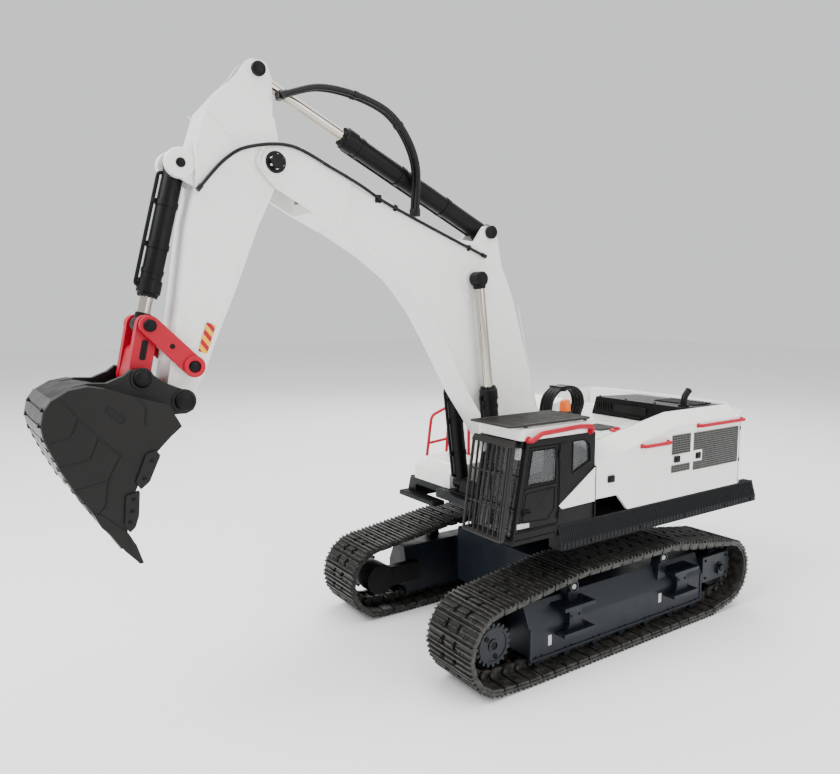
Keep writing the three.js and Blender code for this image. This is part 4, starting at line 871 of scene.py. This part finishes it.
def seat():
    """The operator's seat: crowned cushion, waisted back and headrest, with a sewn channel down each side."""
    def pad(name, centre, size, crown, tilt, pinch):
        bm = bmesh.new()
        bmesh.ops.create_cube(bm, size=1)
        bmesh.ops.subdivide_edges(bm, edges=bm.edges, cuts=7, use_grid_fill=True)
        turn = Matrix.Rotation(tilt, 4, "X")
        for v in bm.verts:
            x, y, z = v.co * 2
            # round the block, then pull its sides in and crown its face
            edge_x, edge_y, edge_z = 1 - abs(x) ** 4, 1 - abs(y) ** 4, 1 - abs(z) ** 4
            bulge = crown * (1 - x * x) * (1 - y * y)
            waist = 1 - pinch * y * y
            p = Vector((
                x * size[0] / 2 * (0.88 + 0.12 * edge_y * edge_z) * waist,
                y * size[1] / 2 * (0.9 + 0.1 * edge_x * edge_z),
                z * size[2] / 2 * (0.8 + 0.2 * edge_x * edge_y) + (bulge if z > 0 else bulge * 0.25),
            ))
            channel = 0.35 * math.exp(-((abs(x) - 0.42) / 0.06) ** 2) * (1 if z > 0 else 0)
            p.z -= channel
            v.co = turn @ p + Vector(centre)
        mold = Mold()
        mold.bm.free()
        mold.bm = bm
        obj = mold.piece(name, SEAT, "house", 0.0, "seat_vinyl")
        smooth = obj.modifiers.new("smooth", "SUBSURF")
        smooth.levels = smooth.render_levels = 1
        obj.modifiers.move(len(obj.modifiers) - 1, 0)
        return obj

    cushion = pad("seat_cushion", (103.5, -103.5, 183.6), (26, 35, 8.6), 1.6, 0.05, 0.04)
    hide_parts("operator_seat")
    pad("seat_back", (103.5, -83.4, 206), (24.6, 34, 7.6), 1.6, math.radians(77), 0.12)
    pad("seat_headrest", (103.5, -75.8, 228.4), (13, 11, 5.4), 0.8, math.radians(77), 0.05)
    base = Mold()
    base.prism("x", [(-104, 161.2), (-88, 161.2), (-90, 178.6), (-102, 178.6)], (97, 110))
    base.box((93, 114), (-118, -88), (177.4, 179.4))
    for x in (100, 107):
        base.tube([(x, -77, 221), (x, -76, 226)], 0.8, 8)
    base.piece("seat_base", SOFT_BLACK, "house", 0.4, "black_plastic")


guards()
cab_dressing()
seat()

# ------------------------------------------------------------------ boom and arm
BOOM_HALF = 22.5
ARM_HALF = 20.5
FOOT = (-38, 180)
NOSE = (-361, 511)
ARM_TOP = (-371, 593)
ARM_RAM_BASE = (-98, 464)
BOOM_RAM_TOP = (-129, 411)
BOOM_RAM_BASE = (-99, 168)
BUCKET_PIN = (-452, 301)
LINK_PIN = (-486, 322)
LEVER_PIN = (-441, 330)
LEVER_TOP = (-477, 366)
BUCKET_RAM_BASE = (-443, 504)
keep("boom", WHITE, 1.2, 3)
keep("arm", WHITE, 1.2, 3)


def bead(mold, x, points, r):
    """A weld or moulding line that stands a little proud of a side plate at x."""
    mold.tube([(x, y, z) for y, z in points], r, 6)


def boom_dressing():
    lines, caps = Mold(), Mold()
    for way in (1, -1):
        x = way * (BOOM_HALF + 0.05)
        bead(lines, x, [(-281, 503), (-250, 489), (-216, 473), (-158, 451), (-122, 447)], 0.6)
        bead(lines, x, [(-280, 453), (-249, 436), (-214, 412), (-184, 377), (-165, 347), (-131, 287)], 0.6)
        bead(lines, x, [(-62, 382), (-55, 356), (-31, 262)], 0.6)
        lines.prism("x", [(-146, 425, 6), (-112, 428, 6), (-100, 400, 6), (-134, 388, 6)],
                    reach(way, BOOM_HALF - 0.3, BOOM_HALF + 0.9))
        lines.ring("x", (0, *FOOT), 9, 15.5, reach(way, BOOM_HALF - 0.4, BOOM_HALF + 0.7), 36)
        caps.rod("x", (0, *NOSE), 9.8, reach(way, 27.5, 29.6), 32)
        caps.hex("x", (0, *NOSE), 7.4, (way * 29, way * 34))
        caps.dome("x", (0, *FOOT), 8, (way * 31, way * 36), 1.5)
        caps.dome("x", (0, *ARM_RAM_BASE), 7.4, (way * 14.5, way * 20), 1.5)
        for a in (0.4, 2.5, 4.6):
            cy, cz = NOSE[0] + 11.3 * math.cos(a), NOSE[1] + 11.3 * math.sin(a)
            lines.hex("x", (0, cy, cz), 1.2, (way * 27.6, way * 29))
    for y, z in ((-302, 514), (-250, 493)):
        caps.prism("x", rounded((y - 3.5, y + 3.5), (z - 9, z - 1), 1), (22, 24), 3)
    lines.piece("boom_mouldings", WHITE, "boom", 0.0, "white_boom")
    caps.piece("boom_pin_caps", BLACK, "boom", 0.4, "black_plastic")


def clipped(corners, top):
    """The part of an outline whose second coordinate lies between zero and top."""
    for limit, sign in ((0, 1), (top, -1)):
        kept = []
        for i, b in enumerate(corners):
            a = corners[i - 1]
            a_in, b_in = sign * (a[1] - limit) > 1e-6, sign * (b[1] - limit) > 1e-6
            if a_in != b_in:
                t = (limit - a[1]) / (b[1] - a[1])
                kept.append((a[0] + (b[0] - a[0]) * t, limit))
            if b_in:
                kept.append(b)
        corners = kept
    return corners


def arm_dressing():
    lines, caps = Mold(), Mold()
    for way in (1, -1):
        x = way * (ARM_HALF + 0.05)
        bead(lines, x, [(-426, 476), (-432, 452), (-443, 386), (-450, 348)], 0.5)
        bead(lines, x, [(-368, 487), (-383, 452), (-405, 394), (-425, 346)], 0.5)
        bead(lines, x, [(-424, 552), (-388, 520), (-368, 487)], 0.5)
        lines.prism("x", [(-450, 348), (-422, 346), (-433, 318), (-458, 318)],
                    reach(way, ARM_HALF - 0.3, ARM_HALF + 0.8))
        lines.rod("x", (0, *BUCKET_RAM_BASE), 13, reach(way, 9.2, 16.5), 36, 0.8)
        caps.dome("x", (0, *BUCKET_RAM_BASE), 4.2, (way * 16, way * 18.4), 1.2, 20)
        caps.dome("x", (0, *ARM_TOP), 6.6, (way * 15, way * 21), 2)
    lines.piece("arm_mouldings", WHITE, "arm", 0.0, "white_boom")
    caps.piece("arm_pin_caps", BLACK, "arm", 0.3, "black_plastic")
    red, yellow = Mold(), Mold()
    low, high = Vector((-431, 341.5)), Vector((-422.5, 366.5))
    up, over = (high - low).normalized(), Vector((0.944, -0.33))
    length, half, pitch, slant = (high - low).length, 4.2, 4.4, 5.5
    for way in (1, -1):
        for k in range(-1, 8):
            near, far = k * pitch + slant / 2, k * pitch - slant / 2
            corners = [(-half, near), (half, far), (half, far + pitch), (-half, near + pitch)]
            quad = clipped(corners, length)
            if len(quad) > 2:
                outline = [tuple(low + over * u + up * v) for u, v in quad]
                mold = red if k % 2 else yellow
                mold.prism("x", outline, reach(way, ARM_HALF + 0.75, ARM_HALF + 1.0))
    red.piece("arm_stripes_red", RED, "arm", 0.0, "red_trim")
    yellow.piece("arm_stripes_yellow", YELLOW, "arm", 0.0, "white_boom")


def ram_pieces(name, x, base, tip, barrel, r, rod_r, rod_from, eye, bodies, nodes, pipe_turn):
    """A ram drawn along +Y from its base pin, then turned to lie between its pins."""
    dy, dz = tip[0] - base[0], tip[1] - base[1]
    length = math.hypot(dy, dz)
    place = Matrix.Translation((x, base[0], base[1])) @ Matrix.Rotation(math.atan2(dz, dy), 4, "X")

    def fresh():
        m = Mold()
        m.place = place
        return m

    tube = fresh()
    tube.rod("x", (0, 0, 0), r - 0.6, (-eye, eye), 28, 0.8)
    tube.lathe("y", (0, 0, 0), [
        (3, r * 0.8), (6, r), (barrel - 24, r), (barrel - 24, r + 0.7), (barrel - 20, r + 0.7),
        (barrel - 20, r + 0.1), (barrel - 15, r + 0.1), (barrel - 14.4, r + 1.3), (barrel - 3, r + 1.3),
        (barrel - 2.2, r + 0.2),
        (barrel, r - 0.6), (barrel, rod_r + 0.8), (9, rod_r + 0.8)], 36)
    for k in range(8):
        a = 2 * math.pi * k / 8
        tube.hex("y", (r * 0.86 * math.cos(a), 0, r * 0.86 * math.sin(a)), 1.1, (barrel - 0.6, barrel + 0.8))
    away = Matrix.Rotation(math.radians(pipe_turn), 4, "Y") @ Vector((0, 0, 1))

    def beside(y, off):
        return Vector((0, y, 0)) + away * off

    far = barrel - 8
    pipe = [beside(10, r * 0.5), beside(10, r + 3.2), beside(far, r + 3.2), beside(far, r * 0.5)]
    tube.tube(bent(pipe, 3), 1.7, 12)
    for y in (barrel * 0.3, barrel * 0.62):
        tube.ring("y", (0, 0, 0), r - 0.3, r + 0.8, (y - 2.5, y + 2.5), 36)
        c = beside(y, r + 2.2)
        tube.lathe("y", (c.x, 0, c.z), [(y - 2.2, 2.2), (y - 2, 2.7), (y + 2, 2.7), (y + 2.2, 2.2)], 16)
    tube.piece(f"{name}_cylinder", BLACK, bodies[0], 0.0, "black_plastic", [nodes[0]])
    shaft = fresh()
    shaft.rod("y", (0, 0, 0), rod_r, (rod_from, length - r * 0.7), 36, 0.3)
    shaft.piece(f"{name}_shaft", CHROME, bodies[1], 0.0, "rod_chrome", [nodes[1]])
    end = fresh()
    end.rod("x", (0, length, 0), r - 0.9, (-7, 7), 30, 0.8)
    end.rod("y", (0, 0, 0), rod_r + 1.4, (length - r - 1.5, length - r * 0.6), 28, 0.6)
    for way in (1, -1):
        end.dome("x", (0, length, 0), 4.6, (way * 6.5, way * 8.5), 1.4)
    end.piece(f"{name}_rod_eye", BLACK, bodies[1], 0.0, "black_plastic")


boom_dressing()
arm_dressing()
for side, way in SIDES:
    ram_pieces(f"{side}_boom_ram", way * 33.5, BOOM_RAM_BASE, BOOM_RAM_TOP, 125, 9, 5.5, 60, 7.5,
               ("boom_ram_barrels", "boom_ram_rods"), (f"{side}_boom_ram_barrel", f"{side}_boom_ram_rod"), 0)
ram_pieces("arm_ram", 0, ARM_RAM_BASE, ARM_TOP, 199, 10, 5.8, 130, 10,
           ("arm_ram_barrel", "arm_ram_rod"), ("arm_ram_barrel", "arm_ram_rod"), -60)
ram_pieces("bucket_ram", 0, BUCKET_RAM_BASE, LEVER_TOP, 117, 9, 5.5, 46, 8.5,
           ("bucket_ram_barrel", "bucket_ram_rod"), ("bucket_ram_barrel", "bucket_ram_rod"), 180)

# ------------------------------------------------------------------ lever and link
keep("bucket_lever", RED, 0.9)
keep("bucket_link", RED, 0.9)


def linkage_caps():
    lever, link, collar = Mold(), Mold(), Mold()
    for way in (1, -1):
        lever.dome("x", (0, *LEVER_PIN), 4.6, (way * 28.3, way * 31.6), 1.2)
        collar.ring("x", (0, *LEVER_PIN), 5.2, 9.4, reach(way, 28.2, 31), 36)
        lever.dome("x", (0, *LEVER_TOP), 5.2, (way * 28.3, way * 32), 1.5)
        middle = ((LEVER_PIN[0] + LEVER_TOP[0]) / 2, (LEVER_PIN[1] + LEVER_TOP[1]) / 2)
        lever.rod("x", (0, *middle), 2.2, reach(way, 28.3, 29), 20, 0.2)
        a, b = Vector(LEVER_TOP).lerp(Vector(LINK_PIN), 0.28), Vector(LEVER_TOP).lerp(Vector(LINK_PIN), 0.66)
        over = Vector((b.y - a.y, a.x - b.x)).normalized() * 2.6
        slot = [(*(a - over), 2), (*(a + over), 2), (*(b + over), 2), (*(b - over), 2)]
        link.prism("x", slot, reach(way, 21.8, 22.3))
        link.ring("x", (0, *LINK_PIN), 6.6, 8.2, reach(way, 21.8, 23), 32)
    collar.piece("lever_collars", RED, "bucket_lever", 0.6, "red_trim")
    lever.piece("lever_pin_caps", BLACK, "bucket_lever", 0.25, "black_plastic")
    link.piece("link_slots", BLACK, "bucket_link", 0.0, "black_plastic")


linkage_caps()

# ------------------------------------------------------------------ bucket
BUCKET_HALF = 49
BUCKET_BACK = [(-531, 319.8), (-545, 317.5), (-556, 311.2), (-562.3, 302.5), (-564.8, 291), (-563, 280),
               (-553, 256), (-543.5, 237), (-531.5, 219), (-521, 202.5), (-511, 186)]
BUCKET_MIDDLE = Vector((-505, 262))
TEETH = 5
TOOTH_WIDTH = 10
keep("bucket", BUCKET, 1.0)


def band(path, inner, outer):
    """A closed outline that follows path between two offsets, positive away from the bucket's middle."""
    pts = [Vector(p) for p in path]
    normals = []
    for i, p in enumerate(pts):
        along = (pts[min(i + 1, len(pts) - 1)] - pts[max(i - 1, 0)]).normalized()
        normal = Vector((along.y, -along.x))
        normals.append(normal if normal.dot(p - BUCKET_MIDDLE) > 0 else -normal)
    return ([tuple(p + n * outer) for p, n in zip(pts, normals)]
            + [tuple(p + n * inner) for p, n in reversed(list(zip(pts, normals)))])


def bucket_strips():
    strips, slits = Mold(), Mold()
    heel = [Vector((y, z)) for y, z in BUCKET_BACK[2:9]]
    for a, b in zip(heel, heel[1:]):
        count = max(1, round((b - a).length / 10))
        for k in range(count):
            low, high = a.lerp(b, (k + 0.05) / count), a.lerp(b, (k + 0.93) / count)
            strips.prism("x", band([low, high], -0.5, 1.1), (-BUCKET_HALF + 0.8, BUCKET_HALF - 0.8))
            middle = a.lerp(b, (k + 0.99) / count)
            along = (b - a).normalized()
            for way in (1, -1):
                pocket = [middle - along * 1.6, middle + along * 1.6]
                slits.prism("x", band(pocket, 0.4, 1.8), reach(way, BUCKET_HALF - 13, BUCKET_HALF - 7))
    strips.prism("x", band(BUCKET_BACK[8:], -0.4, 1.0), (-BUCKET_HALF + 0.5, BUCKET_HALF - 0.5))
    strips.piece("bucket_wear_strips", STRIP, "bucket", 0.3, "bucket_paint")
    slits.piece("bucket_strip_slits", BUCKET, "bucket", 0.0, "bucket_paint")


def bucket_teeth():
    adapters = Mold()
    pitch = (2 * BUCKET_HALF - TOOTH_WIDTH - 6) / (TEETH - 1)
    for i in range(TEETH):
        x = i * pitch - BUCKET_HALF + 3
        sleeve = [(-532, 219, 2), (-526, 206, 1), (-510, 188.5, 1), (-505.8, 198, 1), (-513, 205, 2),
                  (-526, 217, 2)]
        # the outermost sleeves reach the side plates
        low, high = x - 1.4 - 2.6 * (i == 0), x + TOOTH_WIDTH + 1.4 + 2.6 * (i == TEETH - 1)
        adapters.prism("x", sleeve, (low, high), 3)
        adapters.rod("x", (0, -514, 197.5), 1.8, (x - 2.2, x + TOOTH_WIDTH + 2.2), 16, 0.3)
        point = [(-509, 186.5), (-497.4, 169.6), (-493.8, 169.6), (-499, 185.8), (-505.6, 197.4)]
        adapters.prism("x", [(*p, 0.7) for p in point], (x + 0.4, x + TOOTH_WIDTH - 0.4), 2)
    adapters.piece("bucket_teeth", BUCKET, "bucket", 0.4, "bucket_paint")


def bucket_sides():
    raised, caps, bolt_heads = Mold(), Mold(), Mold()
    for way in (1, -1):
        x = way * (BUCKET_HALF + 0.05)
        lines = (
            [(-549.4, 310.3), (-538.8, 295.2), (-524.6, 278.7), (-508.8, 262.7), (-514.8, 252.7),
             (-519.1, 243.1), (-521.7, 223.7), (-526.9, 217.4)],
            [(-538.8, 295.2), (-545.2, 280.8), (-561.6, 277)],
            [(-524.6, 278.7), (-531.9, 261.9), (-554.6, 258)],
            [(-519.1, 243.1), (-544, 238.6)],
            [(-494.5, 307.4), (-489.4, 303), (-488, 297.9), (-489.1, 285.9)],
            [(-516.5, 303.1), (-504.2, 291.5), (-507.7, 288.6), (-519, 299.6), (-516.5, 303.1)],
        )
        for line in lines:
            raised.tube([(x, y, z) for y, z in line], 0.75, 8)
        for plate, bolts in (
            ([(-490, 262), (-482, 264.5), (-478.5, 260), (-488, 239), (-495, 233.5), (-499, 240)],
             [(-485.5, 256), (-492, 242)]),
            ([(-507, 230), (-496, 232), (-497.5, 212), (-500.5, 203), (-505, 199), (-509, 206)],
             [(-501, 226), (-502.5, 216.5), (-504.5, 207.5)]),
        ):
            outline = [(*p, 1.5) for p in plate]
            raised.prism("x", outline, reach(way, BUCKET_HALF + 1.2, BUCKET_HALF + 2.4), 3)
            for y, z in bolts:
                stretch = (way * (BUCKET_HALF + 2), way * (BUCKET_HALF + 4.2))
                bolt_heads.dome("x", (0, y, z), 1.5, stretch, 0.9, 16)
        # flanges where the ears flow into the top plate
        flange = [(-540, 318.6), (-528, 320.8), (-514, 320), (-501, 325), (-494, 330.4), (-497, 322),
                  (-515, 314), (-534, 316)]
        raised.prism("x", flange, reach(way, 24.9, 32.6))
        for (y, z), r in ((BUCKET_PIN, 8.3), (LINK_PIN, 7.3)):
            raised.ring("x", (0, y, z), r - 0.6, r + 2.2, reach(way, 31.7, 33.2), 36)
            caps.dome("x", (0, y, z), r, (way * 31.8, way * 37), 2.2)
    raised.piece("bucket_side_details", BUCKET, "bucket", 0.35, "bucket_paint")
    bolt_heads.piece("bucket_cutter_bolts", BLACK, "bucket", 0.0, "bucket_paint")
    caps.piece("bucket_pin_caps", BLACK, "bucket", 0.2, "black_plastic")


bucket_strips()
bucket_teeth()
bucket_sides()


# ------------------------------------------------------------------ hoses across the arm joint
def arm_hoses():
    path = [(-353, 572), (-310, 586), (-260, 582), (-226, 566), (-203, 528), (-203, 474)]
    hoses = Mold()
    for x in (15, 22):
        run = spline([(x, y, z) for y, z in path], 10)
        hoses.tube(run, 2.9, 14)
        for end, way in ends(run):
            hoses.tube([end, end + way * 7], 3.7, 14)
            hoses.tube([end + way * 7, end + way * 8.4], 3.3, 14)
            hoses.tube([end + way * 0.8, end + way * 3.4], 4.1, 6)
    for y_span, z_span in (((-354, -349), (568.6, 576.4)), ((-206, -200), (474.6, 482.4))):
        hoses.prism("x", rounded(y_span, z_span, 1), (14, 23), 3)
    middle = spline([(18.5, y, z) for y, z in path], 10)
    for k in (17, 31):
        c, along = middle[k], (middle[k + 1] - middle[k]).normalized()
        for off in (Vector((-3.5, 0, 0)), Vector((3.5, 0, 0))):
            hoses.tube([c - along * 2 + off, c + along * 2 + off], 3.5, 14)
    obj = hoses.piece("arm_ram_hoses", HOSE, None, 0.0, "hose_rubber", ["arm_hoses"])
    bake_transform(obj)


def bucket_hose():
    path = [(24, -432, 481), (24, -407, 509), (28, -385, 522), (28, -345, 527), (27.6, -302, 511),
            (27.6, -274, 499), (24.6, -245, 486), (24.6, -215, 474), (24.6, -156, 452), (24.6, -112, 436)]
    hose = Mold()
    run = spline(path, 8)
    hose.tube(run, 1.6, 12)
    for end, way in ends(run):
        hose.tube([end, end + way * 6], 2.3, 12)
    obj = hose.piece("bucket_ram_hose", HOSE, None, 0.0, "hose_rubber", ["bucket_hose"])
    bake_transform(obj)
    clips = Mold()
    for y, z in ((-287, 505.6), (-230, 480.6), (-135, 444.6)):
        clips.tube([(22.4, y - 1.5, z + 0.6), (22.4, y + 1.5, z - 0.6)], 3.4, 12)
    clips.piece("hose_clips", BLACK, "boom", 0.2, "black_plastic")


arm_hoses()
bucket_hose()

# ------------------------------------------------------------------ studio
TARGET = Vector((0, 0, 0.28))


def floor():
    bm = bmesh.new()
    bmesh.ops.create_grid(bm, x_segments=1, y_segments=1, size=6)
    mesh = bpy.data.meshes.new("floor")
    bm.to_mesh(mesh)
    bm.free()
    paper = bpy.data.materials.new("floor_paper")
    paper.use_nodes = True
    bsdf = paper.node_tree.nodes["Principled BSDF"]
    bsdf.inputs["Base Color"].default_value = (0.93, 0.93, 0.93, 1)
    bsdf.inputs["Roughness"].default_value = 0.9
    mesh.materials.append(paper)
    obj = bpy.data.objects.new("floor", mesh)
    bpy.context.scene.collection.objects.link(obj)
    obj.location.z = -0.0004


def softbox(name, at, size, power):
    data = bpy.data.lights.new(name, "AREA")
    data.shape = "SQUARE"
    data.size = size
    data.energy = power
    lamp = bpy.data.objects.new(name, data)
    bpy.context.scene.collection.objects.link(lamp)
    lamp.location = at
    lamp.rotation_euler = (TARGET - Vector(at)).to_track_quat("-Z", "Y").to_euler()


floor()
softbox("key", (-0.05, -1.5, 1.7), 1.1, 50)
softbox("top", (0.1, 0.1, 2.4), 2.2, 44)
softbox("fill", (1.7, 0.5, 0.9), 1.4, 16)
softbox("back", (-1.3, 1.1, 1.4), 1.4, 18)
world = bpy.data.worlds.new("studio")
world.use_nodes = True
world.node_tree.nodes["Background"].inputs["Color"].default_value = (0.97, 0.98, 1, 1)
world.node_tree.nodes["Background"].inputs["Strength"].default_value = 0.92
bpy.context.scene.world = world
